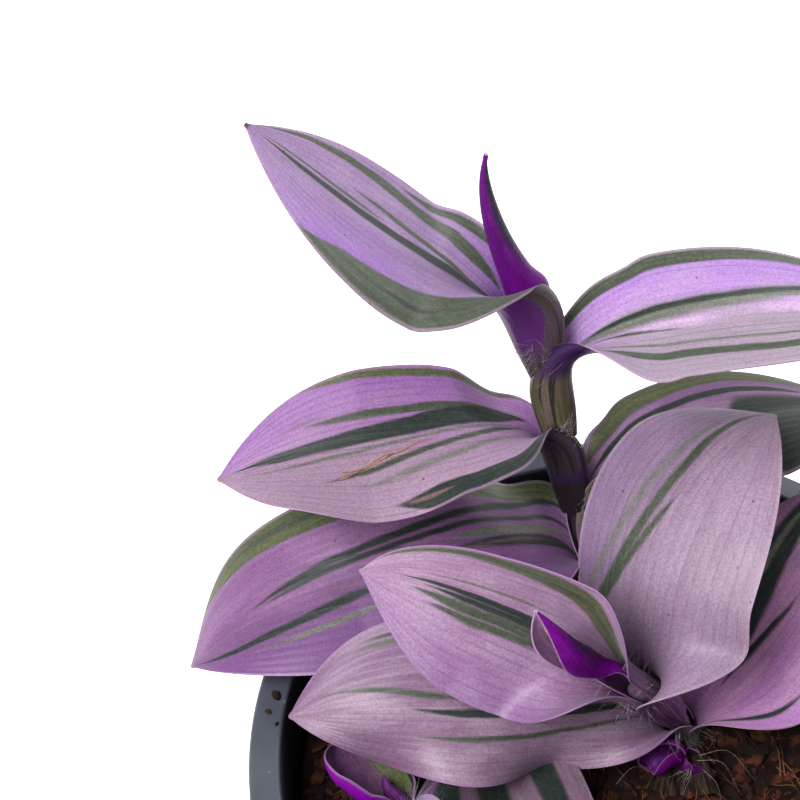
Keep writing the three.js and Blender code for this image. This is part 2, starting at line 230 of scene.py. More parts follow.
def turned_solid(name: str, profile: Sequence[Pair], steps: int) -> Piece:
    """Closed solid of revolution about the pot's axis.

    Args:
        name: the piece's name.
        profile: radius and height of each point, starting and ending on the axis.
        steps: faces round the axis.

    Returns:
        The solid, with its normals outwards.
    """
    deselect()
    bpy.ops.mesh.primitive_plane_add(size=1.0)
    piece = named(name)
    with editing():
        bpy.ops.mesh.merge(type="CENTER")
        bpy.ops.transform.translate(value=Vector((profile[0][0], 0, profile[0][1])) * MM)
        for start, end in zip(profile, profile[1:]):
            step = Vector((end[0] - start[0], 0, end[1] - start[1])) * MM
            bpy.ops.mesh.extrude_vertices_move(TRANSFORM_OT_translate={"value": step})
        bpy.ops.mesh.select_all(action="SELECT")
        bpy.ops.mesh.spin(steps=steps, angle=TURN, center=(0, 0, 0), axis=(0, 0, 1))
        bpy.ops.mesh.select_all(action="SELECT")
        bpy.ops.mesh.remove_doubles(threshold=1e-6)
        bpy.ops.mesh.normals_make_consistent(inside=False)
    return piece


def shade(piece: Piece, degrees: float) -> None:
    """Smooth shading, with edges sharper than the angle left crisp."""
    take(piece)
    bpy.ops.object.shade_smooth_by_angle(angle=math.radians(degrees))


class Sketch:
    """Short ways to add and join the nodes of one shader tree.

    A value is a socket to join, a number or a colour's code, or None to leave it alone.
    """

    def __init__(self, tree: bpy.types.NodeTree) -> None:
        """Keep the tree of a material or of a node group."""
        self.tree = tree

    def put(self, socket: Socket, value: object) -> None:
        """Give a socket its value."""
        if isinstance(value, Socket):
            self.tree.links.new(value, socket)
        elif value is not None:
            socket.default_value = rgb(value) if isinstance(value, str) else value

    def add(self, kind: str, *values: object, **settings: object) -> bpy.types.Node:
        """A new node with the values of its first inputs and its own settings."""
        node = self.tree.nodes.new(kind)
        for key, setting in settings.items():
            setattr(node, key, setting)
        for socket, value in zip(node.inputs, values):
            self.put(socket, value)
        return node

    def sum(self, operation: str, *values: object) -> Socket:
        """The result of one Math node."""
        return self.add("ShaderNodeMath", *values, operation=operation).outputs[0]

    def times(self, first: object, second: object) -> Socket:
        """Two values multiplied."""
        return self.sum("MULTIPLY", first, second)

    def plus(self, first: object, second: object) -> Socket:
        """Two values added."""
        return self.sum("ADD", first, second)

    def less(self, first: object, second: object) -> Socket:
        """The first value less the second."""
        return self.sum("SUBTRACT", first, second)

    def slope(self, value: object, rate: object, start: object) -> Socket:
        """A value times its rate, plus a start."""
        return self.sum("MULTIPLY_ADD", value, rate, start)

    def step(self, value: object, low: object, high: object, first: float = 0.0,
             last: float = 1.0) -> Socket:
        """A soft step of the value between two limits."""
        return self.add("ShaderNodeMapRange", value, low, high, first, last,
                        interpolation_type="SMOOTHSTEP").outputs[0]

    def mix(self, share: object, first: object, second: object, blend: str = "MIX") -> Socket:
        """Two colours mixed by a share."""
        node = self.add("ShaderNodeMix", share, data_type="RGBA", blend_type=blend)
        self.put(node.inputs[MIX_FIRST], first)
        self.put(node.inputs[MIX_SECOND], second)
        return node.outputs[MIX_RESULT]

    def grain(self, place: object, scale: float, detail: float = 3.0,
              rough: float = 0.55) -> Socket:
        """Noise from 0 to 1."""
        return self.add("ShaderNodeTexNoise", place, None, scale, detail, rough).outputs[0]

    def spots(self, place: object, scale: float) -> Socket:
        """Distance to the nearest of many scattered points."""
        return self.add("ShaderNodeTexVoronoi", place, None, scale).outputs[0]

    def vector(self, x: object, y: object, z: object) -> Socket:
        """A vector from three parts."""
        return self.add("ShaderNodeCombineXYZ", x, y, z).outputs[0]

    def parts(self, value: object) -> list[Socket]:
        """The three parts of a vector."""
        return list(self.add("ShaderNodeSeparateXYZ", value).outputs)

    def bump(self, height: object, strength: float, distance: float) -> Socket:
        """Surface relief from a height, with its depth in metres."""
        return self.add("ShaderNodeBump", strength, distance, None, height).outputs[0]


class Material(Sketch):
    """A new material with one Principled surface."""

    def __init__(self, name: str, **constants: object) -> None:
        """Make the material.

        Args:
            name: its name.
            constants: values set on the surface's own sockets, by socket name with
                underscores for spaces.
        """
        self.material = bpy.data.materials.new(name)
        self.material.use_nodes = True
        super().__init__(self.material.node_tree)
        self.surface = self.tree.nodes["Principled BSDF"]
        for key, value in constants.items():
            self.surface.inputs[key.replace("_", " ")].default_value = value

    def place(self) -> Socket:
        """The piece's own object coordinates, in metres."""
        return self.add("ShaderNodeTexCoord").outputs["Object"]

    def sheet(self) -> Socket:
        """The piece's UV map: across a leaf and along it."""
        return self.add("ShaderNodeUVMap", uv_map="UVMap").outputs[0]

    def dress(self, colour: object, roughness: object, normal: object = None) -> Surface:
        """Join colour, roughness and relief to the surface.

        Args:
            colour: base colour.
            roughness: roughness from 0 to 1.
            normal: a Bump node's result, or nothing.

        Returns:
            The finished material.
        """
        self.put(self.surface.inputs["Base Color"], colour)
        self.put(self.surface.inputs["Roughness"], roughness)
        self.put(self.surface.inputs["Normal"], normal)
        return self.material


class LeafMaterial(Material):
    """A material that knows its place across (-1 to 1) and along (0 to 1 on the blade).

    Wander is the place across with the small sway of a real stripe, and cloth is a stretched
    place for clouds of colour.
    """

    def __init__(self, name: str, seed: float, **constants: object) -> None:
        """Make the material and find the places.

        Args:
            name: its name.
            seed: moves its patterns, so that no two leaves are alike.
            constants: values set on the surface's own sockets.
        """
        super().__init__(name, **constants)
        self.seed = seed
        u, v, _ = self.parts(self.sheet())
        self.across, self.along = self.slope(u, 2.0, -1.0), self.slope(v, 2.0, -1.0)
        self.cloth = self.drawn(2.2, 3.0)
        sway = self.less(self.grain(self.drawn(1.2, 2.6, 3.0), 1.6, 2.0), 0.5)
        nibble = self.less(self.grain(self.drawn(30.0, 6.0, 5.0), 1.6), 0.5)
        self.wander = self.slope(nibble, 0.045, self.slope(sway, 0.08, self.across))

    def drawn(self, wide: float, long: float, shift: float = 0.0, across: object = None) -> Socket:
        """Places for a pattern that is drawn out over the leaf.

        Args:
            wide: how often it repeats across.
            long: how often it repeats along.
            shift: moves it, so that no two patterns are alike.
            across: the place across, where it isn't the leaf's own.

        Returns:
            The places.
        """
        across = self.across if across is None else across
        return self.vector(self.times(across, wide), self.times(self.along, long),
                           self.seed + shift)


class Tint(Enum):
    """Colours of the stripes on a leaf."""

    GREEN = "3e4737"
    DARK = "1f2a24"
    OLIVE = "4d5436"
    GREY = "62655b"
    PALE = "c9b3c6"
    VIOLET = "6a2f9a"
    BROWN = "65504f"
    STRAW = "565a34"
    CREAM = "d8b67c"

    def light(self) -> tuple[float, ...]:
        """The lighter tone of the stripe's flecks."""
        return tuple(min(1.0, part * 1.6 + 0.01) for part in rgb(self.value)[:3]) + (1.0,)


@dataclass(frozen=True)
class Stripe:
    """One stripe that runs along a blade.

    The three places across it are from -1, one margin, through the midrib at 0 to 1, and
    bend the stripe's middle line from its base by way of the bow to the tip. Its half width
    runs evenly from half at the base to point at the tip, or stays half if point is left out.
    """

    base: float
    bow: float
    tip: float
    half: float
    start: float = -0.2
    end: float = 1.0
    tint: Tint = Tint.GREEN
    point: float | None = None
    soft: float = 0.022
    depth: float = 1.0

    def share(self, draw: LeafMaterial, strength: float) -> Socket:
        """How far a place on the leaf lies in the stripe."""
        point = self.half if self.point is None else self.point
        group = draw.add("ShaderNodeGroup", node_tree=stripe_group())
        values = (draw.wander, draw.along, self.base, self.bow, self.tip, self.half, point,
                  self.start, self.end, self.soft)
        for socket, value in zip(group.inputs, values):
            draw.put(socket, value)
        return draw.times(group.outputs[0], self.depth * strength)


def stripe_group() -> bpy.types.NodeTree:
    """The node group that tells how far a place on a leaf lies in a stripe.

    Returns:
        The group, made once.
    """
    found = bpy.data.node_groups.get("Leaf stripe")
    if found is not None:
        return found
    tree = bpy.data.node_groups.new("Leaf stripe", "ShaderNodeTree")
    for name in ("Across", "Along", "Base", "Bow", "Tip", "Half", "Point", "Start", "End", "Soft"):
        tree.interface.new_socket(name, in_out="INPUT", socket_type="NodeSocketFloat")
    tree.interface.new_socket("Share", in_out="OUTPUT", socket_type="NodeSocketFloat")
    draw = Sketch(tree)
    given = draw.add("NodeGroupInput").outputs
    along = draw.sum("MAXIMUM", given["Along"], 0.0)
    rest = draw.less(1.0, along)
    first = draw.times(draw.times(rest, rest), given["Base"])
    second = draw.slope(draw.times(draw.times(rest, along), 2.0), given["Bow"], first)
    middle = draw.slope(draw.times(along, along), given["Tip"], second)
    away = draw.sum("ABSOLUTE", draw.less(given["Across"], middle))
    rising = draw.step(given["Along"], given["Start"], draw.plus(given["Start"], 0.16))
    falling = draw.step(given["Along"], draw.less(given["End"], 0.2), given["End"], 1.0, 0.0)
    taper = draw.times(rising, falling)
    broad = draw.plus(draw.times(rest, given["Half"]), draw.times(along, given["Point"]))
    half = draw.times(broad, draw.times(taper, STRIPE_BREADTH))
    inner, outer = draw.less(half, given["Soft"]), draw.plus(half, given["Soft"])
    inside = draw.step(away, inner, outer, 1.0, 0.0)
    draw.add("NodeGroupOutput", draw.times(inside, draw.step(taper, 0.0, 0.25)))
    return tree


@dataclass(frozen=True)
class LeafFinish:
    """Colours and stripes of one leaf.

    A half tone, where there is one, colours the half on its side. The collar is the
    deep colour of the sheath's outside near its mouth, between two places across, and it
    fades out between two places along. The throat colour is painted shade on the inside of
    the sheath and the base of the blade, and it also colours a ring that marks the node,
    with painted shade below the ring. Streaks lighten or darken what is under them, and so
    do the cell flecks, which are partly mottling and partly painted sheen.
    """

    stripes: tuple[Stripe, ...] = ()
    flesh: str = "ab84af"
    pale: str = "bf9fc0"
    half_tone: str | None = None
    half_side: float = -1.0
    violet: str = "8747b4"
    violet_side: float = -1.0
    violet_share: float = 0.5
    violet_from: float = 0.0
    violet_to: float = 1.5
    margin: str = "9c7f9f"
    under: str = "5c2f70"
    under_pale: str = "7d5088"
    lines: tuple[str, str, str] = ("33292c", "59543f", "6b5a66")
    # Painted shade inside the sheath and at the blade's base; also the colour of the node ring
    throat: str = "2c0f3c"
    collar: str | None = None
    collar_span: Pair = (-0.6, 0.6)
    collar_fade: Pair = (-0.85, -0.25)
    ring: float | None = None
    tip_tone: str | None = None
    gloss: float = 0.38
    seed: float = 0.0
    streaks: tuple[str, str] = ("6c6c6c", "939393")
    # Dark and pale cell flecks: mottling and a painted sheen of glistening cells
    cells: tuple[str, str] = ("5a5060", "c8bccb")
    vein: str = "5f3f6c"
    speck: str = "33222e"
    # Painted shade on the sheath below the node ring
    below_ring_shade: str = "160d10"
    edge_shade: str = "8d6a94"

    def upper(self, name: str) -> Surface:
        """Material of the face that looks up and towards the stem.

        Args:
            name: the leaf's name.

        Returns:
            The material.
        """
        draw = LeafMaterial(f"{name}_upper", self.seed, Specular_IOR_Level=self.gloss,
                            Subsurface_Weight=0.06, Subsurface_Scale=0.0008,
                            Sheen_Weight=0.08, Sheen_Roughness=0.4)
        clouds = draw.step(draw.grain(draw.cloth, 1.6), 0.36, 0.66)
        colour = draw.mix(clouds, self.flesh, self.pale)
        if self.half_tone is not None:
            drift = draw.slope(clouds, 0.3, draw.times(draw.across, -self.half_side))
            colour = draw.mix(draw.step(drift, -0.05, 0.4, 0.85, 0.0), colour, self.half_tone)
        colour, veins = self.veins(draw, self.violet_wash(draw, colour))
        colour = self.rimmed(draw, self.striped(draw, colour, 1.0))
        # Painted shade: the inside of the sheath and the blade's base darkened to the throat colour
        colour = draw.mix(draw.step(draw.along, -0.2, 0.06, 0.92, 0.0), colour, self.throat)
        if self.tip_tone is not None:
            colour = draw.mix(draw.step(draw.along, 0.982, 0.992), colour, self.tip_tone)
        return self.skin(draw, colour, veins, 0.38)

    def lower(self, name: str) -> Surface:
        """Material of the face that looks down and of the outside of the sheath.

        Args:
            name: the leaf's name.

        Returns:
            The material.
        """
        draw = LeafMaterial(f"{name}_lower", self.seed, Specular_IOR_Level=self.gloss,
                            Subsurface_Weight=0.05, Subsurface_Scale=0.0008)
        clouds = draw.step(draw.grain(draw.cloth, 1.8), 0.35, 0.7)
        colour, veins = self.veins(draw, draw.mix(clouds, self.under, self.under_pale))
        colour = self.striped(draw, colour, 0.8)
        foot = draw.step(draw.along, 0.0, 0.14, 1.0, 0.0)
        colour = draw.mix(foot, colour, self.sheath(draw))
        if self.collar is not None:
            colour = self.collared(draw, colour)
        return self.skin(draw, self.rimmed(draw, colour), veins, 0.36)

    def edge(self, name: str) -> Surface:
        """Material of the thin margin round the blade."""
        draw = Material(f"{name}_edge", Specular_IOR_Level=0.4)
        grit = draw.grain(draw.place(), 1400.0, 2.0)
        return draw.dress(draw.mix(grit, self.margin, self.edge_shade), 0.45)

    def violet_wash(self, draw: LeafMaterial, colour: Socket) -> Socket:
        """Saturated violet that fades in from one margin and from the base."""
        side = draw.times(draw.across, self.violet_side)
        edge = draw.step(draw.slope(draw.grain(draw.cloth, 1.1), 0.9, side), 0.45, 1.35)
        reach = draw.times(
            draw.step(draw.along, self.violet_from - 0.05, self.violet_from + 0.25),
            draw.step(draw.along, self.violet_to - 0.35, self.violet_to, 1.0, 0.1))
        near = draw.step(draw.along, -0.1, 0.3, 0.75, 0.0)
        share = draw.sum("MAXIMUM", draw.times(edge, reach), near)
        return draw.mix(draw.times(share, self.violet_share), colour, self.violet)

    def veins(self, draw: LeafMaterial, colour: Socket) -> tuple[Socket, Socket]:
        """Fine parallel veins and streaks: darkened colour and the veins' height."""
        uneven = draw.grain(draw.drawn(22.0, 1.3, 1.0), 1.0, 2.0)
        fine = draw.step(draw.grain(draw.drawn(85.0, 4.0, 2.0), 1.0, 2.0), 0.3, 0.7)
        colour = draw.mix(0.26, colour, draw.mix(fine, *self.streaks), "OVERLAY")
        wave = draw.sum("SINE", draw.slope(uneven, 5.0, draw.times(draw.across, 62.0)))
        faint = draw.times(draw.step(wave, 0.6, 1.0), draw.step(uneven, 0.38, 0.66, 0.1, 0.32))
        return draw.mix(faint, colour, self.vein), draw.times(wave, -0.22)

    def striped(self, draw: LeafMaterial, colour: Socket, strength: float) -> Socket:
        """The leaf's own stripes laid over a colour."""
        threads = draw.grain(draw.drawn(48.0, 3.0, 6.0, draw.wander), 1.0, 2.0)
        fleck = draw.slope(draw.grain(draw.place(), 1500.0, 3.0, 0.7), 0.45,
                           draw.times(threads, 0.55))
        for stripe in self.stripes:
            share = stripe.share(draw, strength)
            tinted = draw.mix(draw.step(fleck, 0.42, 0.64), stripe.tint.value, stripe.tint.light())
            colour = draw.mix(share, colour, tinted)
        return colour

    def rimmed(self, draw: LeafMaterial, colour: Socket) -> Socket:
        """The thin pale line along both margins."""
        rim = draw.step(draw.sum("ABSOLUTE", draw.across), 0.95, 0.98)
        blade = draw.step(draw.along, 0.0, 0.2, 0.2, 0.6)
        return draw.mix(draw.times(rim, blade), colour, self.margin)

    def sheath(self, draw: LeafMaterial) -> Socket:
        """Olive, dark and mauve lines on the outside of the sheath."""
        strand = draw.drawn(7.0, 0.5, 8.0)
        dark, olive, mauve = self.lines
        base = draw.mix(draw.step(draw.grain(strand, 1.0, 2.0), 0.44, 0.53), dark, olive)
        pale = draw.step(draw.grain(strand, 2.3, 2.0), 0.52, 0.58, 0.0, 0.85)
        colour = draw.mix(pale, base, mauve)
        if self.ring is None:
            return colour
        # Painted shade below the node ring, then the ring itself in the throat colour
        below = draw.step(draw.along, self.ring - 0.05, self.ring + 0.05, 0.88, 0.0)
        away = draw.sum("ABSOLUTE", draw.less(draw.along, self.ring))
        ring = draw.step(away, 0.03, 0.1, 0.85, 0.0)
        return draw.mix(ring, draw.mix(below, colour, self.below_ring_shade), self.throat)

    def collared(self, draw: LeafMaterial, colour: Socket) -> Socket:
        """Deep colour on the outside of the sheath's mouth that fades towards its foot."""
        low, high = self.collar_span
        slant = draw.slope(draw.along, 0.25, draw.across)
        band = draw.times(draw.step(slant, low - 0.05, low + 0.05),
                          draw.step(slant, high - 0.05, high + 0.05, 1.0, 0.0))
        length = draw.times(draw.step(draw.along, *self.collar_fade),
                            draw.step(draw.along, 0.2, 0.5, 1.0, 0.0))
        return draw.mix(draw.times(draw.times(band, length), 0.92), colour, self.collar)

    def skin(self, draw: LeafMaterial, colour: Socket, veins: Socket, rough: float) -> Surface:
        """Pearly cell grain, partly painted sheen, with a few dark specks and the relief.

        Args:
            draw: the material so far.
            colour: its colours and stripes.
            veins: the veins' height.
            rough: roughness of its smoothest places.

        Returns:
            The finished material.
        """
        place = draw.place()
        grit = draw.grain(place, 2600.0, 3.0, 0.6)
        # Cell flecks laid over the colour: partly mottling, partly painted sheen
        cells = draw.mix(draw.step(grit, 0.32, 0.68), *self.cells)
        mottle_and_sheen = draw.mix(0.32, colour, cells, "OVERLAY")
        dots = draw.step(draw.spots(place, 190.0), 0.028, 0.05, 0.7, 0.0)
        height = draw.plus(veins, draw.times(grit, 0.35))
        return draw.dress(draw.mix(dots, mottle_and_sheen, self.speck), draw.slope(grit, 0.16, rough),
                          draw.bump(height, 0.5, 0.00012))


@dataclass(frozen=True)
class StemFinish:
    """Green and violet skin of a stem, by default darkened nearly to black as painted shade."""

    # Painted shade: these default tones are the stem darkened nearly to black, as in shade between
    # the leaves
    dark: str = "1a0f14"
    light: str = "33222b"

    def material(self, name: str) -> Surface:
        """The stem's material."""
        draw = Material(name, Specular_IOR_Level=0.45, Subsurface_Weight=0.05,
                        Subsurface_Scale=0.001)
        x, y, z = draw.parts(draw.place())
        drawn = draw.vector(draw.times(x, 900.0), draw.times(y, 900.0), draw.times(z, 90.0))
        lines = draw.grain(drawn, 1.0)
        colour = draw.mix(draw.step(lines, 0.4, 0.62), self.dark, self.light)
        return draw.dress(colour, 0.42, draw.bump(lines, 0.35, 0.0001))


@dataclass(frozen=True)
class PotPlastic:
    """Slate blue-grey moulded plastic, fine scratches, dust, soil stains, painted shade inside."""

    body: str = "42464f"
    worn: str = "4e545e"
    shade: str = "2f323b"
    dust: str = "8d939b"
    stain: str = "33302f"
    # Painted shade: the colour of the pot's inner wall, nearly black
    inside: str = "0c0b14"

    def material(self) -> Surface:
        """The pot's material."""
        draw = Material("pot_plastic", Specular_IOR_Level=0.5)
        place = draw.place()
        x, y, z = draw.parts(place)
        broad = draw.grain(place, 38.0, 4.0)
        fine = draw.grain(place, 2200.0, 3.0, 0.7)
        colour = draw.mix(draw.step(broad, 0.35, 0.7), self.body, self.worn)
        colour = draw.mix(draw.step(fine, 0.5, 0.8, 0.0, 0.35), colour, self.shade)
        specks = draw.step(draw.spots(place, 420.0), 0.05, 0.11, 0.5, 0.0)
        colour = draw.mix(specks, colour, self.dust)
        stain = draw.times(draw.step(draw.grain(place, 120.0, 5.0), 0.56, 0.72),
                           draw.step(z, 0.1035, 0.1048, 0.8, 0.3))
        colour = draw.mix(stain, colour, self.stain)
        # Painted shade: the inner wall darkened nearly to black, a little less just under the lip
        radius = draw.sum("SQRT", draw.plus(draw.times(x, x), draw.times(y, y)))
        inside = draw.times(draw.step(radius, 0.0547, 0.0551, 1.0, 0.0),
                            draw.step(z, 0.09, 0.1046, 1.0, 0.75))
        return draw.dress(draw.mix(inside, colour, self.inside), draw.slope(broad, 0.25, 0.32),
                          draw.bump(fine, 0.25, 0.00008))


@dataclass(frozen=True)
class PeatFinish:
    """Dark brown coco peat and its lighter chips and fibres."""

    dark: str = "100605"
    light: str = "2a120b"

    def bed(self) -> Surface:
        """The soil bed's material."""
        draw = Material("peat_bed", Specular_IOR_Level=0.25)
        lumps = draw.grain(draw.place(), 420.0, 6.0, 0.7)
        colour = draw.mix(draw.step(lumps, 0.35, 0.7), self.dark, self.light)
        return draw.dress(colour, 0.95, draw.bump(lumps, 1.0, 0.0012))

    def crumbs(self, name: str, dark: str, light: str) -> Surface:
        """Material of loose chips or fibres, which differ from one to the next."""
        draw = Material(name, Specular_IOR_Level=0.25)
        place = draw.place()
        patch, grit = draw.grain(place, 260.0, 2.0), draw.grain(place, 1800.0, 4.0, 0.7)
        colour = draw.mix(draw.step(patch, 0.38, 0.64), dark, light)
        colour = draw.mix(draw.times(grit, 0.5), colour, self.dark)
        return draw.dress(colour, 0.9, draw.bump(grit, 0.8, 0.0003))


@dataclass(frozen=True)
class HairFinish:
    """Fine white hairs round the mouth of each sheath."""

    tone: str = "d8ccd4"
    shade: str = "b3a4ae"

    def material(self) -> Surface:
        """The hairs' material."""
        draw = Material("leaf_hair", Specular_IOR_Level=0.5)
        grit = draw.grain(draw.place(), 500.0, 2.0)
        return draw.dress(draw.mix(grit, self.tone, self.shade), 0.4)


@dataclass(frozen=True)
class PaperFinish:
    """Dry, papery old sheath."""

    tone: str = "3a2c26"
    shade: str = "150d0a"

    def material(self) -> Surface:
        """The dry sheath's material."""
        draw = Material("dry_sheath", Specular_IOR_Level=0.05)
        u, v, _ = draw.parts(draw.sheet())
        lines = draw.grain(draw.vector(draw.times(u, 22.0), draw.times(v, 1.5), 0.0), 1.0)
        colour = draw.mix(draw.step(lines, 0.4, 0.62), self.shade, self.tone)
        return draw.dress(colour, 0.6, draw.bump(lines, 0.5, 0.0001))


class Line:
    """A smooth line that is read by the length run along it."""

    def __init__(self, at: Callable[[np.ndarray], np.ndarray], steps: int = 200) -> None:
        """Measure the line.

        Args:
            at: gives the points of the line for values from 0 to 1.
            steps: how finely its length is measured.
        """
        self.at = at
        self.shares = np.linspace(0, 1, steps + 1)
        gaps = np.linalg.norm(np.diff(at(self.shares), axis=0), axis=1)
        self.lengths = np.concatenate([[0.0], np.cumsum(gaps)])
        self.length = float(self.lengths[-1])

    @classmethod
    def through(cls, points: Sequence[Point]) -> "Line":
        """An even curve through all of the points.

        Args:
            points: the places that it passes, in millimetres.

        Returns:
            The line.
        """
        given = np.array(points, float)
        wide = np.vstack([2 * given[0] - given[1], given, 2 * given[-1] - given[-2]])
        spans = len(given) - 1

        def at(shares: np.ndarray) -> np.ndarray:
            """Points of the curve."""
            scaled = np.clip(np.atleast_1d(shares), 0, 1) * spans
            k = np.minimum(scaled.astype(int), spans - 1)
            t = (scaled - k)[:, None]
            before, start, end, after = wide[k], wide[k + 1], wide[k + 2], wide[k + 3]
            leave, arrive = (end - before) / 2, (after - start) / 2
            bend = 3 * (end - start) - 2 * leave - arrive
            return start + leave * t + bend * t ** 2 + (2 * (start - end) + leave + arrive) * t ** 3

        return cls(at)

    @classmethod
    def arch(cls, corners: Sequence[np.ndarray]) -> "Line":
        """A cubic arch from four corner points."""
        a, b, c, d = (np.array(p, float) for p in corners)

        def at(shares: np.ndarray) -> np.ndarray:
            """Points of the arch."""
            t = np.atleast_1d(shares)[:, None]
            r = 1 - t
            return r ** 3 * a + 3 * r * r * t * b + 3 * r * t * t * c + t ** 3 * d

        return cls(at)

    def share(self, run: np.ndarray | float) -> np.ndarray:
        """The value from 0 to 1 at a length run along the line."""
        return np.interp(np.atleast_1d(run), self.lengths, self.shares)

    def point(self, run: np.ndarray | float) -> np.ndarray:
        """Points at lengths run along the line."""
        return self.at(self.share(run))

    def heading(self, run: np.ndarray | float) -> np.ndarray:
        """Unit directions at lengths run along the line."""
        share = self.share(run)
        step = self.at(np.clip(share + 1e-4, 0, 1)) - self.at(np.clip(share - 1e-4, 0, 1))
        return step / np.linalg.norm(step, axis=1)[:, None]


@dataclass
class Pot:
    """Round nursery pot: foot, tapered wall, turned-out lip with a skirt, drain holes."""

    finish: PotPlastic = PotPlastic()
    steps: int = 144

    def profile(self) -> list[Pair]:
        """Radius and height of the pot's section, from the underside round to the floor."""
        skirt_foot = POT_HEIGHT - SKIRT_HEIGHT
        lip_under = POT_HEIGHT - LIP_THICKNESS
        arc = [(math.sin(math.radians(a)), math.cos(math.radians(a))) for a in range(75, -1, -15)]
        outer = [(RIM_RADIUS - OUTER_ROUND + OUTER_ROUND * s,
                  POT_HEIGHT - OUTER_ROUND + OUTER_ROUND * c) for s, c in arc]
        inner = [(LIP_INNER + INNER_ROUND - INNER_ROUND * s,
                  POT_HEIGHT - INNER_ROUND + INNER_ROUND * c) for s, c in arc[::-1]]
        return [
            (0, 0), (PAD_RADIUS, 0), (PAD_RADIUS + 1.5, FOOT_RISE),
            (FOOT_RADIUS - 5, FOOT_RISE), (FOOT_RADIUS - 4, 0), (FOOT_RADIUS, 0),
            (FOOT_RADIUS + 0.7, 1), (FOOT_RADIUS + 3.2, 22),
            (WALL_TOP - 0.5, skirt_foot - 4), (WALL_TOP, skirt_foot),
            (WALL_TOP + 0.3, lip_under), (RIM_RADIUS - 1.6, lip_under),
            (RIM_RADIUS - 1.5, skirt_foot), (RIM_RADIUS - 0.5, skirt_foot),
            (RIM_RADIUS - 0.3, skirt_foot + 0.3), *outer, *inner,
            (LIP_INNER, POT_HEIGHT - 1.0), (WALL_TOP - WALL, SOIL_LEVEL - 2),
            (FOOT_RADIUS - WALL, FLOOR_TOP + 2), (FOOT_RADIUS - WALL - 2, FLOOR_TOP),
            (0, FLOOR_TOP),
        ]

    def build(self) -> list[Piece]:
        """Model and dress the pot.

        Returns:
            The pot alone in a list.
        """
        pot = turned_solid("pot_body", self.profile(), self.steps)
        for k in range(DRAIN_COUNT):
            self.drill(pot, TURN * (k + 0.5) / DRAIN_COUNT)
        pot.data.materials.append(self.finish.material())
        shade(pot, 35)
        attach(pot, "root")
        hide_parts("pot")
        return [pot]

    def drill(self, pot: Piece, angle: float) -> None:
        """Cut one drain hole through the floor.

        Args:
            pot: the pot's body.
            angle: the hole's place round the axis, in radians.
        """
        deselect()
        place = (DRAIN_RING * math.cos(angle) * MM, DRAIN_RING * math.sin(angle) * MM, 2 * MM)
        bpy.ops.mesh.primitive_cylinder_add(vertices=32, radius=DRAIN_RADIUS * MM, depth=12 * MM,
                                            location=place)
        cutter = bpy.context.object
        apply_modifier(pot, "BOOLEAN", operation="DIFFERENCE", object=cutter, solver="EXACT")
        bpy.data.objects.remove(cutter)


